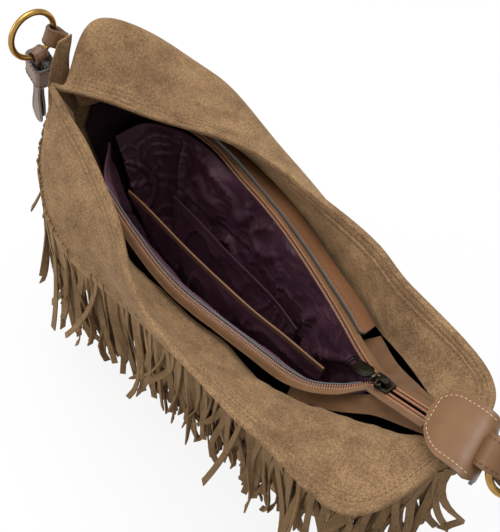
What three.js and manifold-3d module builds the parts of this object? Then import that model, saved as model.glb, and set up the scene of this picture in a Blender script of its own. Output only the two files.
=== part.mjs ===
// Fringed suede shoulder bag, standing open on its base.
// X runs along the bag, -Y is the fringed front, +Z is up. Lengths are in millimetres.
import * as THREE from 'three';
import { mergeVertices } from 'three/addons/utils/BufferGeometryUtils.js';
import Module from 'manifold-3d';

// Size of the bag. The pattern below is drawn for the first three values.
const bagLength = 350;
const bagDepth = 150;
const bagHeight = 245;
const patternLength = 350;
const patternDepth = 150;
const patternHeight = 245;

// Thicknesses and gaps of the soft goods
const suedeThickness = 1.6;
const facingThickness = 1.2;
const liningThickness = 0.8;
const dividerThickness = 1.6;
const layerGap = 0.6;
const liningGap = 2.6;
const touchGap = 0.3;
const seamGap = 3.2;
const baseThickness = 2.4;

// Fringe
const fringeLength = 146;
const fringeThickness = 1.2;
const fringeFlare = 5;
const fringeClearance = 6;

// Zip
const tapeWidth = 4.5;
const tapeThickness = 0.7;
const coilWidth = 2.6;
const coilHeight = 2.0;
const coilSlot = 1.4;
const sliderLength = 11;
const sliderWidth = 10.4;
const sliderPlate = 1.1;
const sliderRoom = 0.7;
const sliderPost = 0.8;
const connectorWire = 1.4;
const connectorWidth = 7.6;
const connectorLength = 8.4;
const pullLength = 25;
const pullWidth = 9;
const pullThickness = 1.4;
const pullWindow = 4.6;
const knuckleOuter = 3.4;
const knuckleLength = 3.8;

// Leather goods
const stripThickness = 1.8;
const bindingWidth = 3;
const bindingHeight = 5;
const tabWidth = 38;
const tabThickness = 2;
const armWidth = 32;
const armThickness = 2;
const strapWidth = 18;
const strapThickness = 3.2;
const tailWidth = 14;
const neckWidth = 9;
const floorGap = 0.4;
const keeperHeight = 21;
const keeperThickness = 2;
const keeperRoom = 1.8;
const loopThickness = 1.8;
const loopWidth = 13;

// Rings
const ringOuter = 36;
const ringWire = 4;
const ringRoom = 0.55;

// Finishes
const suede = finish(0xa0825f, 0.95);
const suedeInner = finish(0x8a6c4c, 0.95);
const satin = finish(0x3f2430, 0.45);
const leather = finish(0x8a5f42, 0.5);
const twill = finish(0x8b6149, 0.8);
const coil = finish(0x9a5f40, 0.5);
const brass = finish(0xb89048, 0.3, 1);
const gunmetal = finish(0x3a3830, 0.35, 1);
const edgePaint = finish(0x3e4448, 0.5);

const bag = new THREE.Group();
const wasm = await Module();
wasm.setup();

function finish(color, roughness, metalness = 0) {
  return new THREE.MeshStandardMaterial({ color, roughness, metalness });
}

// A point of the pattern, graded to the bag's size
function spot(x, y, z) {
  return new THREE.Vector3(
    (x * bagLength) / patternLength,
    (y * bagDepth) / patternDepth,
    (z * bagHeight) / patternHeight,
  );
}

// A smooth line through pattern points
function rail(points) {
  return new THREE.CatmullRomCurve3(points.map(([x, y, z]) => spot(x, y, z)), false, 'catmullrom', 0.5);
}

// The same line, moved by a real distance
function moved(line, x, y, z) {
  const shift = new THREE.Vector3(x, y, z);
  return new THREE.CatmullRomCurve3(line.points.map((p) => p.clone().add(shift)), false, 'catmullrom', 0.5);
}

// The same line, moved level towards the inside of the bag by a real distance, and down
function inset(line, inward, drop) {
  const last = line.points.length - 1;
  const points = line.points.map((p, index) => {
    const ahead = line.getTangent(index / last);
    const side = new THREE.Vector3(-ahead.y, ahead.x, 0).normalize();
    return p.clone().addScaledVector(side, inward).setZ(p.z - drop);
  });
  return new THREE.CatmullRomCurve3(points, false, 'catmullrom', 0.5);
}

// A cloth surface: u runs along the rails, v climbs from the first rail to the last
function clothOver(rails) {
  return (u, v) => {
    const column = rails.map((line) => line.getPoint(u));
    return new THREE.CatmullRomCurve3(column, false, 'catmullrom', 0.5).getPoint(v);
  };
}

function surfaceNormal(surface, u, v) {
  const step = 1e-3;
  const along = surface(Math.min(u + step, 1), v).sub(surface(Math.max(u - step, 0), v));
  const upwards = surface(u, Math.min(v + step, 1)).sub(surface(u, Math.max(v - step, 0)));
  return along.cross(upwards).normalize();
}

// Turns a list of corner positions and triangles into a closed geometry that faces outwards
function closedGeometry(corners, faces) {
  let volume = 0;
  for (const [a, b, c] of faces) {
    volume += corners[a].dot(corners[b].clone().cross(corners[c]));
  }
  const turned = volume < 0 ? faces.map(([a, b, c]) => [a, c, b]) : faces;
  const geometry = new THREE.BufferGeometry();
  geometry.setAttribute('position', new THREE.Float32BufferAttribute(corners.flatMap((p) => p.toArray()), 3));
  geometry.setIndex(turned.flat());
  geometry.computeVertexNormals();
  return geometry;
}

// A sheet of real thickness between two offsets from a surface
function sheetGeometry(surface, { uFrom = 0, uTo = 1, vFrom = 0, vTo = 1, columns, rows, near, far }) {
  const corners = [];
  const across = columns + 1;
  for (const offset of [near, far]) {
    for (let row = 0; row <= rows; row += 1) {
      for (let column = 0; column <= columns; column += 1) {
        const u = uFrom + ((uTo - uFrom) * column) / columns;
        const v = vFrom + ((vTo - vFrom) * row) / rows;
        const normal = surfaceNormal(surface, u, v);
        corners.push(surface(u, v).addScaledVector(normal, offset));
      }
    }
  }
  const layer = across * (rows + 1);
  const faces = [];
  const quad = (a, b, c, d) => faces.push([a, b, c], [a, c, d]);
  for (let row = 0; row < rows; row += 1) {
    for (let column = 0; column < columns; column += 1) {
      const a = row * across + column;
      quad(a, a + 1, a + 1 + across, a + across);
      quad(a + layer, a + layer + across, a + layer + across + 1, a + layer + 1);
    }
  }
  const rim = [];
  for (let column = 0; column < columns; column += 1) rim.push(column);
  for (let row = 0; row < rows; row += 1) rim.push(row * across + columns);
  for (let column = columns; column > 0; column -= 1) rim.push(rows * across + column);
  for (let row = rows; row > 0; row -= 1) rim.push(row * across);
  rim.forEach((a, index) => {
    const b = rim[(index + 1) % rim.length];
    quad(a, a + layer, b + layer, b);
  });
  return closedGeometry(corners, faces);
}

// A solid of one convex section carried along a line; aside(t) says which way the section's width lies
function sweptGeometry(line, section, aside, steps, from = 0, to = 1) {
  const corners = [];
  const faces = [];
  for (let step = 0; step <= steps; step += 1) {
    const t = from + ((to - from) * step) / steps;
    const ahead = line.getTangent(t);
    const side = aside(t).clone();
    side.addScaledVector(ahead, -side.dot(ahead)).normalize();
    const lift = new THREE.Vector3().crossVectors(ahead, side).normalize();
    const shape = typeof section === 'function' ? section(t) : section;
    for (const [width, height] of shape) {
      corners.push(line.getPoint(t).addScaledVector(side, width).addScaledVector(lift, height));
    }
  }
  const count = corners.length / (steps + 1);
  for (let step = 0; step < steps; step += 1) {
    for (let k = 0; k < count; k += 1) {
      const a = step * count + k;
      const b = step * count + ((k + 1) % count);
      faces.push([a, b, b + count], [a, b + count, a + count]);
    }
  }
  const last = steps * count;
  for (let k = 1; k < count - 1; k += 1) {
    faces.push([0, k + 1, k], [last, last + k, last + k + 1]);
  }
  return closedGeometry(corners, faces);
}

function box(left, right, low, high) {
  return [[left, low], [right, low], [right, high], [left, high]];
}

function sixSided(width, height) {
  const w = width / 2;
  const h = height / 2;
  return [[-w, 0], [-w / 2, -h], [w / 2, -h], [w, 0], [w / 2, h], [-w / 2, h]];
}

function add(name, geometry, material) {
  const mesh = new THREE.Mesh(geometry, material);
  mesh.name = name;
  bag.add(mesh);
  return mesh;
}

const acrossBag = () => new THREE.Vector3(0, 1, 0);

// Front wall, outer face, from the base up to the rim. Each rail goes from the left end to the right end.
const halfSeam = seamGap / 2;
const frontBase = rail([
  [-128, 6, 3], [-116, -18, 3], [-82, -33, 3], [-28, -37, 3],
  [28, -37, 3], [82, -33, 3], [116, -18, 3], [128, 6, 3],
]);
const frontLow = rail([
  [-146, 4, 60], [-130, -26, 60], [-90, -39, 60], [-30, -42, 60],
  [28, -42, 60], [88, -40, 60], [130, -27, 60], [146, 4, 60],
]);
const frontBelly = rail([
  [-158, 0, 110], [-136, -34, 110], [-98, -46, 110], [-36, -46, 110],
  [28, -45, 110], [90, -44, 110], [134, -32, 110], [160, 0, 110],
]);
const frontSeam = rail([
  [-170, -8, 226], [-152, -38, 196], [-110, -55, 168], [-48, -51, 153],
  [22, -48, 150], [88, -50, 156], [140, -40, 182], [171, -8, 210],
]);
const frontUpper = rail([
  [-170, -10, 236], [-143, -33, 216], [-95, -50, 193], [-42, -57, 180],
  [26, -60, 178], [90, -62, 182], [146, -60, 198], [171, -8, 220],
]);
const frontRim = rail([
  [-167, -12, 245], [-127, -23, 228], [-78, -38, 215], [-34, -57, 205],
  [30, -68, 203], [92, -71, 204], [150, -66, 209], [170, -8, 230],
]);
const frontRails = [frontBase, frontLow, frontBelly, frontSeam, frontUpper, frontRim];
const frontWall = clothOver(frontRails.map((line) => moved(line, 0, -halfSeam, 0)));
const seamHeight = 3 / 5;
const seamSplit = 0.004;

// Back wall, outer face
const backBase = rail([
  [-128, 6, 3], [-117, 33, 3], [-82, 47, 3], [-28, 50, 3],
  [28, 50, 3], [82, 46, 3], [117, 32, 3], [128, 6, 3],
]);
const backLow = rail([
  [-146, 4, 60], [-131, 48, 60], [-92, 66, 60], [-30, 69, 60],
  [28, 66, 60], [88, 59, 60], [129, 40, 60], [146, 4, 60],
]);
const backBelly = rail([
  [-158, 0, 120], [-154, 58, 120], [-106, 82, 120], [-38, 82, 120],
  [28, 74, 120], [90, 64, 120], [132, 44, 120], [160, 0, 120],
]);
const backHigh = rail([
  [-171, -4, 206], [-178, 40, 258], [-128, 92, 210], [-46, 89, 188],
  [26, 75, 185], [84, 62, 188], [148, 43, 197], [171, -2, 190],
]);
const backRim = rail([
  [-167, -12, 245], [-147, 11, 232], [-104, 41, 220], [-50, 63, 213],
  [14, 66.8, 212], [74, 55.4, 215], [154, 36, 223], [170, -7, 230],
]);
const backRails = [backBase, backLow, backBelly, backHigh, backRim];
const backWall = clothOver(backRails.map((line) => moved(line, 0, halfSeam, 0)));

const wallEnds = { uFrom: 0.003, uTo: 0.997 };
add('front_lower_panel', sheetGeometry(frontWall, {
  ...wallEnds, vTo: seamHeight - seamSplit, columns: 22, rows: 6, near: 0, far: -suedeThickness,
}), suede);
add('front_yoke', sheetGeometry(frontWall, {
  ...wallEnds, vFrom: seamHeight + seamSplit, columns: 28, rows: 4, near: 0, far: -suedeThickness,
}), suede);
add('back_panel', sheetGeometry(backWall, {
  ...wallEnds, columns: 24, rows: 8, near: 0, far: suedeThickness,
}), suede);

// Base, a flat plate under both walls
const baseOutline = [
  ...frontBase.getPoints(20).map((p) => new THREE.Vector2(p.x, p.y - halfSeam)),
  ...backBase.getPoints(20).reverse().map((p) => new THREE.Vector2(p.x, p.y + halfSeam)),
];
const baseGeometry = new THREE.ExtrudeGeometry(new THREE.Shape(baseOutline), {
  depth: baseThickness, bevelEnabled: false,
});
add('base_panel', baseGeometry, suede);

// Fringe: an inner and an outer row of strands under the yoke, hanging straight down
function fringeRow(name, gapOutside, flare, vFrom) {
  const top = moved(frontSeam, 0, -halfSeam, 0);
  const points = top.points.map((p) => {
    const low = Math.max(p.z - fringeLength, fringeClearance);
    return new THREE.Vector3(p.x, p.y - flare, low);
  });
  const bottom = new THREE.CatmullRomCurve3(points, false, 'catmullrom', 0.5);
  const hanging = (u, v) => bottom.getPoint(u).lerp(top.getPoint(u), v);
  add(name, sheetGeometry(hanging, {
    ...wallEnds, vFrom: 0, vTo: 1 - vFrom, columns: 22, rows: 3,
    near: gapOutside, far: gapOutside + fringeThickness,
  }), suede);
}
fringeRow('fringe_inner_row', layerGap, 0, 0.02);
fringeRow('fringe_outer_row', layerGap * 2 + fringeThickness, fringeFlare, 0.01);

// Facings: the suede bands inside the mouth. The front one flops inwards into a soft ridge.
const innerShift = suedeThickness + layerGap + halfSeam;
const rimDrop = 1.5;
const frontFacing = clothOver([
  rail([
    [-160, 0, 188], [-131, -19, 172], [-86, -42, 158], [-38, -42, 150],
    [24, -38, 148], [80, -24, 152], [122, -12, 166], [158, -3, 201],
  ]),
  rail([
    [-163, -4, 222], [-132, -20, 204], [-86, -42, 189], [-38, -48, 178],
    [26, -51, 180], [82, -31, 186], [130, -21, 205], [162, -7, 220],
  ]),
  inset(frontRim, innerShift, rimDrop),
]);
add('front_facing', sheetGeometry(frontFacing, {
  uFrom: 0.02, uTo: 0.955, columns: 28, rows: 6, near: 0, far: facingThickness,
}), suedeInner);
const backFacing = clothOver([
  rail([
    [-161, 8, 188], [-150, 50, 186], [-106, 82, 180], [-40, 77, 178],
    [22, 64, 178], [70, 45, 182], [114, 24, 196], [160, 1, 217],
  ]),
  rail([
    [-163, 2, 222], [-147, 30, 212], [-106, 62, 202], [-45, 70, 195],
    [18, 64, 195], [73, 49, 199], [134, 30, 210], [164, -1, 223],
  ]),
  inset(backRim, -innerShift, rimDrop),
]);
add('back_facing', sheetGeometry(backFacing, {
  uFrom: 0.055, uTo: 0.965, columns: 24, rows: 6, near: 0, far: -facingThickness,
}), suedeInner);

// Linings of the front and back compartments, just inside the suede
const liningStart = suedeThickness + liningGap;
add('front_lining', sheetGeometry(frontWall, {
  uFrom: 0.04, uTo: 0.96, vFrom: 0.03, vTo: 0.58, columns: 18, rows: 5,
  near: -liningStart, far: -liningStart - liningThickness,
}), satin);
add('back_lining', sheetGeometry(backWall, {
  uFrom: 0.05, uTo: 0.96, vFrom: 0.03, vTo: 0.64, columns: 20, rows: 5,
  near: liningStart, far: liningStart + liningThickness,
}), satin);

// Centre compartment: two dividers that meet at both ends, and a strip that closes their foot
const frontDivider = clothOver([
  rail([
    [-118, 20, 34], [-98, 9, 33], [-62, 5, 32], [-22, 5, 32], [26, 5, 32], [66, 7, 33], [88, 12, 36],
  ]),
  rail([
    [-142, 14, 120], [-120, -2, 118], [-74, -7, 116], [-26, -7, 115],
    [32, -7, 115], [78, -4, 120], [104, 3, 132],
  ]),
  rail([
    [-154, 14, 182], [-124, -12, 181], [-76, -24, 181], [-27, -27, 180],
    [35, -25, 180], [84, -17, 181], [107, -2, 186],
  ]),
]);
const backDivider = clothOver([
  rail([
    [-118, 23, 34], [-98, 27, 33], [-62, 29, 32], [-22, 29, 32], [26, 26, 32], [66, 21, 33], [88, 15, 36],
  ]),
  rail([
    [-142, 18, 120], [-126, 42, 118], [-74, 47, 116], [-26, 43, 115],
    [32, 33, 115], [78, 17, 120], [104, 6, 132],
  ]),
  rail([
    [-154, 18, 182], [-146, 46, 182], [-106, 60, 181], [-50, 55, 180],
    [18, 41, 180], [70, 24, 182], [107, 3, 186],
  ]),
]);
add('centre_front_divider', sheetGeometry(frontDivider, {
  uFrom: 0.01, uTo: 0.985, columns: 20, rows: 5, near: 0, far: -dividerThickness,
}), satin);
add('centre_back_divider', sheetGeometry(backDivider, {
  uFrom: 0.01, uTo: 0.985, columns: 20, rows: 5, near: 0, far: dividerThickness,
}), satin);
const centreFoot = rail([[-100, 17, 28], [-22, 15, 28], [26, 14, 28], [72, 14, 28]]);
add('centre_bottom', sweptGeometry(centreFoot, box(-8, 8, 0, dividerThickness), acrossBag, 10), satin);

// Slip pocket on the front divider, with its leather binding
const slipTop = rail([
  [-120, 2, 158], [-90, 1, 158], [-43, 0, 158], [10, -2, 158], [43, 0, 158], [71, 1, 160],
]);
const slipFoot = rail([
  [-98, 8, 80], [-80, 6, 76], [-40, 3, 70], [8, 3, 70], [38, 3, 70], [62, 5, 72],
]);
const slipPocket = (u, v) => slipFoot.getPoint(u).lerp(slipTop.getPoint(u), v);
add('slip_pocket', sheetGeometry(slipPocket, {
  vTo: 0.985, columns: 12, rows: 2, near: 0, far: liningThickness,
}), satin);
const bindingSection = box(-bindingWidth / 2, bindingWidth / 2, -0.6, bindingHeight - 0.6);
const bindingLine = moved(slipTop, 0, 0, -touchGap);
add('slip_pocket_binding', sweptGeometry(bindingLine, bindingSection, acrossBag, 16), leather);

// Patch pocket on the back divider
const patchTop = rail([[-118, 37, 126], [-70, 39.5, 120], [-20, 36, 118], [24, 28, 118]]);
const patchFoot = rail([[-108, 25, 56], [-66, 27, 54], [-20, 26.5, 54], [20, 23, 54]]);
const patchPocket = (u, v) => patchFoot.getPoint(u).lerp(patchTop.getPoint(u), v);
add('back_patch_pocket', sheetGeometry(patchPocket, {
  columns: 12, rows: 2, near: 0, far: -liningThickness,
}), satin);

// Zip. Both coils run along the open mouth, then side by side to the right end.
const chainStart = spot(106, 2, 197);
const chainEnd = spot(150.1, -4.9, 225.5);
const chainAhead = chainEnd.clone().sub(chainStart).normalize();
const chainSide = new THREE.Vector3(0, 0, 1).cross(chainAhead).normalize();
const chainUp = new THREE.Vector3().crossVectors(chainAhead, chainSide).normalize();
const chainLength = chainStart.distanceTo(chainEnd);
const coilOffset = (coilWidth + coilSlot) / 2;

function alongChain(distance, sideways = 0, lift = 0) {
  return chainStart.clone().addScaledVector(chainAhead, distance)
    .addScaledVector(chainSide, sideways).addScaledVector(chainUp, lift);
}

// The open half of one coil, up to the chain
function coilLine(points, direction) {
  const open = points.map(([x, y, z]) => spot(x, y, z));
  const shares = [0, 0.08, 0.35, 0.68, 1];
  const closed = shares.map((share) => alongChain(chainLength * share, direction * coilOffset));
  return new THREE.CatmullRomCurve3([...open, ...closed], false, 'catmullrom', 0.5);
}
const frontCoil = coilLine([
  [-116, -19, 188], [-75, -26, 186], [-27, -30, 184],
  [35, -28, 184], [72, -23, 184.5], [92, -12, 189],
], -1);
const backCoil = coilLine([
  [-124, 58, 188], [-92, 60, 187], [-60, 54, 186],
  [16, 37, 186], [66, 20, 187], [92, 10, 191],
], 1);
function zipHalf(side, line, direction) {
  const outward = () => chainSide.clone().multiplyScalar(direction);
  add(`zip_teeth_${side}`, sweptGeometry(line, sixSided(coilWidth, coilHeight), outward, 40), coil);
  const inner = coilWidth / 2 + touchGap;
  const tape = box(inner, inner + tapeWidth, -tapeThickness / 2, tapeThickness / 2);
  add(`zip_tape_${side}`, sweptGeometry(line, tape, outward, 40, 0, 0.985), twill);
}
zipHalf('front', frontCoil, -1);
zipHalf('back', backCoil, 1);

// Zip end stop, under the tab
const stopLine = new THREE.LineCurve3(alongChain(chainLength + touchGap), alongChain(chainLength + 3));
add('zip_end_stop', sweptGeometry(stopLine, sixSided(6, 2.4), () => chainSide, 1), gunmetal);

// Slider: two plates over and under the coils, joined by a post in the slot between them
const sliderMiddle = 11;
const plateLift = coilHeight / 2 + sliderRoom;
function sliderOutline() {
  const l = sliderLength / 2;
  const w = sliderWidth / 2;
  const outline = new THREE.Shape();
  outline.moveTo(-l + 2, -w);
  outline.quadraticCurveTo(-l, -w, -l, -w + 2.5);
  outline.lineTo(-l, w - 2.5);
  outline.quadraticCurveTo(-l, w, -l + 2, w);
  outline.lineTo(l, w * 0.72);
  outline.lineTo(l, -w * 0.72);
  return outline;
}
function onChain(geometry, distance, lift) {
  const frame = new THREE.Matrix4().makeBasis(chainAhead, chainSide, chainUp);
  frame.setPosition(alongChain(distance, 0, lift));
  return geometry.applyMatrix4(frame);
}
const plate = () => new THREE.ExtrudeGeometry(sliderOutline(), {
  depth: sliderPlate, bevelEnabled: false, curveSegments: 4,
});
function solidOf(geometry) {
  const bare = geometry.clone();
  bare.deleteAttribute('normal');
  bare.deleteAttribute('uv');
  const merged = mergeVertices(bare, 1e-4);
  return new wasm.Manifold(new wasm.Mesh({
    numProp: 3,
    vertProperties: new Float32Array(merged.attributes.position.array),
    triVerts: new Uint32Array(merged.index.array),
  }));
}
function geometryOf(solid) {
  const mesh = solid.getMesh();
  const geometry = new THREE.BufferGeometry();
  geometry.setAttribute('position', new THREE.Float32BufferAttribute(Array.from(mesh.vertProperties), 3));
  geometry.setIndex(Array.from(mesh.triVerts));
  geometry.computeVertexNormals();
  return geometry;
}

const postHeight = plateLift * 2 + 0.6;
const post = new THREE.BoxGeometry(3, sliderPost, postHeight);
const bridgeFoot = new THREE.BoxGeometry(1.4, 3, 3.4);
const bridgeTop = plateLift + sliderPlate;
const sliderBody = [
  onChain(plate(), sliderMiddle, plateLift),
  onChain(plate(), sliderMiddle, -plateLift - sliderPlate),
  onChain(post, sliderMiddle - 2, 0),
  onChain(bridgeFoot.clone(), sliderMiddle - 3.6, bridgeTop + 1.4),
  onChain(bridgeFoot.clone(), sliderMiddle + 3.6, bridgeTop + 1.4),
  onChain(new THREE.BoxGeometry(8.6, 3, 1.1), sliderMiddle, bridgeTop + 3.5),
].map(solidOf).reduce((whole, piece) => whole.add(piece));
add('zip_slider', geometryOf(sliderBody), gunmetal);

// A closed loop of round wire
function closedWire(path, diameter, sides, steps) {
  const frames = path.computeFrenetFrames(steps, true);
  const corners = [];
  const faces = [];
  for (let step = 0; step < steps; step += 1) {
    const centre = path.getPointAt(step / steps);
    for (let k = 0; k < sides; k += 1) {
      const angle = ((k + 0.5) * 2 * Math.PI) / sides;
      corners.push(centre.clone()
        .addScaledVector(frames.normals[step], (diameter / 2) * Math.cos(angle))
        .addScaledVector(frames.binormals[step], (diameter / 2) * Math.sin(angle)));
    }
  }
  for (let step = 0; step < steps; step += 1) {
    const next = ((step + 1) % steps) * sides;
    for (let k = 0; k < sides; k += 1) {
      const turn = (k + 1) % sides;
      faces.push([step * sides + k, step * sides + turn, next + turn]);
      faces.push([step * sides + k, next + turn, next + k]);
    }
  }
  return closedGeometry(corners, faces);
}

// Connector ring under the slider's bridge. It hinges there, and its far bar carries the pull.
const bridgeLift = bridgeTop + 1.5;
const connectorHinge = sliderMiddle - 1.2;
const farBar = connectorHinge - connectorLength;
const sideReach = connectorWidth / 2;
const connectorPoints = [
  [0, 0], [0, sideReach * 0.8], [-2, sideReach], [2 - connectorLength, sideReach],
  [-connectorLength, sideReach * 0.8], [-connectorLength, -sideReach * 0.8],
  [2 - connectorLength, -sideReach], [-2, -sideReach], [0, -sideReach * 0.8],
].map(([distance, sideways]) => alongChain(connectorHinge + distance, sideways, bridgeLift));
const connectorPath = new THREE.CatmullRomCurve3(connectorPoints, true, 'catmullrom', 0.5);
add('zip_connector_ring', closedWire(connectorPath, connectorWire, 8, 32), gunmetal);

// Flat pull with a window at its free end and a rolled knuckle round the far bar
const pullShape = new THREE.Shape();
const pullStart = -knuckleOuter / 2 + 0.3;
const pullNeck = pullStart - 4;
const pullEnd = -pullLength;
pullShape.moveTo(pullStart, -knuckleLength / 2);
pullShape.lineTo(pullStart, knuckleLength / 2);
pullShape.lineTo(pullNeck + 2.4, knuckleLength / 2);
pullShape.lineTo(pullNeck, pullWidth / 2);
pullShape.lineTo(pullEnd, pullWidth / 2);
pullShape.lineTo(pullEnd, -pullWidth / 2);
pullShape.lineTo(pullNeck, -pullWidth / 2);
pullShape.lineTo(pullNeck + 2.4, -knuckleLength / 2);
const pullFrame = 2;
const window = new THREE.Path();
window.moveTo(pullEnd + pullFrame, -pullWidth / 2 + pullFrame);
window.lineTo(pullEnd + pullFrame + pullWindow, -pullWidth / 2 + pullFrame);
window.lineTo(pullEnd + pullFrame + pullWindow, pullWidth / 2 - pullFrame);
window.lineTo(pullEnd + pullFrame, pullWidth / 2 - pullFrame);
pullShape.holes.push(window);
const pullPlate = new THREE.ExtrudeGeometry(pullShape, { depth: pullThickness, bevelEnabled: false });
pullPlate.translate(0, 0, -pullThickness / 2);
const knuckle = new THREE.CylinderGeometry(knuckleOuter / 2, knuckleOuter / 2, knuckleLength, 16);
const knuckleBore = new THREE.CylinderGeometry(
  connectorWire / 2 + touchGap, connectorWire / 2 + touchGap, knuckleLength * 2, 12,
);
const pullSolid = [pullPlate, knuckle]
  .map((piece) => solidOf(onChain(piece, farBar, bridgeLift)))
  .reduce((whole, piece) => whole.add(piece))
  .subtract(solidOf(onChain(knuckleBore, farBar, bridgeLift)));
add('zip_pull', geometryOf(pullSolid), gunmetal);

// Twill gussets beside the closed end of the zip, just under the tapes
const gussetBack = clothOver([
  rail([[80, 28, 179], [100, 16, 186], [120, 8, 200], [140, 3, 213], [153, 0, 222]]),
  rail([[84, 33, 180], [104, 21, 188], [126, 13, 203], [141, 8, 214], [153, 3, 223.5]]),
]);
add('gusset_back', sheetGeometry(gussetBack, {
  columns: 8, rows: 2, near: 0, far: -liningThickness,
}), twill);
const gussetFront = clothOver([
  rail([[70, -30, 172], [96, -17, 178], [116, -8, 192], [136, -9, 207], [148, -10, 216]]),
  rail([[68, -27, 178], [94, -14, 182], [114, -4.5, 196], [135, -6.5, 210], [147, -7.6, 218]]),
]);
add('gusset_front', sheetGeometry(gussetFront, {
  columns: 8, rows: 2, near: 0, far: -liningThickness,
}), twill);

// Leather strip on the back divider's top, and the thin trim on the front divider
const stripInner = rail([
  [-114, 65, 190.2], [-75, 62, 189.4], [-36, 54, 188], [16, 42.5, 188], [60, 28, 188.6], [80, 20.5, 190.5],
]);
const stripOuter = rail([
  [-110, 73, 181], [-72, 74, 180], [-32, 68, 179], [20, 55.4, 179.5], [60, 41.6, 182], [79, 34, 184.5],
]);
const strip = (u, v) => stripInner.getPoint(u).lerp(stripOuter.getPoint(u), v);
add('back_leather_strip', sheetGeometry(strip, {
  columns: 24, rows: 2, near: 0, far: stripThickness,
}), leather);
const trimLine = moved(frontCoil, 0, coilWidth + touchGap * 2, -0.6);
add('front_leather_trim', sweptGeometry(trimLine, box(-0.6, 0.9, -2.4, 0), acrossBag, 24, 0, 0.5), edgePaint);

// Right end: half-moon tab folded over the end, with its ring loop
const tabFold = rail([
  [144.7, -3.4, 228.5], [152, -4, 231.6], [160, -5, 235], [168, -5.5, 238.4],
  [173.5, -6, 239.6], [177.5, -6, 237.4], [179.5, -6, 230], [180, -6, 213],
]);
const tabAcross = new THREE.Vector3(-0.2, 0.97, 0.1).normalize();
const tabRound = 0.3;
const tabDrop = 0.62;
const tabEndShare = 0.42;
const tab = (u, v) => {
  const into = Math.min(v / tabRound, 1);
  const narrowed = 1 - (1 - tabEndShare) * THREE.MathUtils.smoothstep(v, tabDrop, 1);
  const halfWidth = (tabWidth / 2) * narrowed * Math.max(Math.sqrt(1 - (1 - into) ** 2), 0.12);
  return tabFold.getPoint(v).addScaledVector(tabAcross, (2 * u - 1) * halfWidth);
};
add('end_tab', sheetGeometry(tab, {
  columns: 8, rows: 18, near: 0, far: tabThickness,
}), leather);

// Left end: a suede arm sewn over the end of both walls, which carries the left ring
const armLine = rail([
  [-176.4, -3, 214], [-177.4, 0, 232], [-177.8, 4, 246], [-177.8, 9, 256], [-177.8, 12, 262],
]);
const armSection = (t) => {
  const halfWidth = (armWidth / 2) * (1 - 0.45 * t);
  return box(-halfWidth, halfWidth, -armThickness / 2, armThickness / 2);
};
add('left_end_arm', sweptGeometry(armLine, armSection, acrossBag, 12), suede);

// Rings
function ringOf(name, centre, normal, level) {
  const first = level.clone().addScaledVector(normal, -level.dot(normal)).normalize();
  const second = new THREE.Vector3().crossVectors(normal, first).normalize();
  const radius = (ringOuter - ringWire) / 2;
  const at = (angle) => centre.clone()
    .addScaledVector(first, radius * Math.cos(angle))
    .addScaledVector(second, radius * Math.sin(angle));
  const tangent = (angle) => first.clone().multiplyScalar(-Math.sin(angle))
    .addScaledVector(second, Math.cos(angle)).normalize();
  const points = Array.from({ length: 24 }, (_, k) => at((k * Math.PI) / 12));
  const path = new THREE.CatmullRomCurve3(points, true, 'catmullrom', 0.5);
  add(name, closedWire(path, ringWire, 10, 36), brass);
  return { at, tangent };
}
const rightRing = ringOf(
  'right_ring', spot(194, 0.4, 236.4),
  new THREE.Vector3(0.764, -0.204, 0.612).normalize(), new THREE.Vector3(0.26, 0.97, 0),
);
const leftRing = ringOf(
  'left_ring', spot(-188, -4.5, 268), new THREE.Vector3(1, 0, 0), new THREE.Vector3(0, 1, 0),
);

// Room that a band of one width needs round the bent wire
function wireRoom(width) {
  const radius = (ringOuter - ringWire) / 2;
  return ringWire / 2 + radius - Math.sqrt(radius ** 2 - (width / 2) ** 2) + ringRoom;
}

// A band folded round a ring's wire. Its two legs run away from the wire, close towards each other, and
// may twist as they go. The first leg is 'near' long and the second 'far'.
const twistFrom = 3.6;
const twistTo = 11.5;
function foldedBand(name, ring, angle, away, { near, far, width, thickness, apart, twist = 0, section }) {
  const wire = ring.at(angle);
  const axis = ring.tangent(angle);
  const out = away.clone().addScaledVector(axis, -away.dot(axis)).normalize();
  const side = new THREE.Vector3().crossVectors(axis, out).normalize();
  const middle = wireRoom(width) + thickness / 2;
  const closeAt = 8;
  const turned = (vector, distance) => {
    const share = THREE.MathUtils.smoothstep(distance, twistFrom, twistTo);
    return vector.clone().applyAxisAngle(out, twist * share);
  };
  const legPoint = (distance, sign) => {
    const share = THREE.MathUtils.smoothstep(distance, 0, closeAt);
    const spread = middle + (apart - middle) * share;
    return wire.clone().addScaledVector(out, distance).addScaledVector(turned(side, distance), sign * spread);
  };
  const route = [];
  const stops = [1, 0.86, 0.72, 0.58, 0.46, 0.34, 0.22, 0.12];
  for (const share of stops) route.push([legPoint(near * share, 1), turned(axis, near * share)]);
  for (let k = 0; k <= 6; k += 1) {
    const turn = (k * Math.PI) / 6;
    const point = wire.clone()
      .addScaledVector(side, middle * Math.cos(turn))
      .addScaledVector(out, -middle * Math.sin(turn));
    route.push([point, axis.clone()]);
  }
  for (const share of stops.toReversed()) route.push([legPoint(far * share, -1), turned(axis, far * share)]);
  const path = new THREE.CatmullRomCurve3(route.map(([point]) => point), false, 'catmullrom', 0.5);
  const sides = new THREE.CatmullRomCurve3(route.map(([, across]) => across), false, 'catmullrom', 0.5);
  const flat = box(-width / 2, width / 2, -thickness / 2, thickness / 2);
  add(name, sweptGeometry(path, section ?? flat, (t) => sides.getPoint(t), 44), leather);
  return { wire, out, side: turned(side, near), axis: turned(axis, near) };
}
foldedBand('right_ring_loop', rightRing, -Math.PI / 2, new THREE.Vector3(-1, 0, -0.3), {
  near: 17, far: 17, width: loopWidth, thickness: loopThickness, apart: loopThickness / 2 + touchGap,
});
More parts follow.
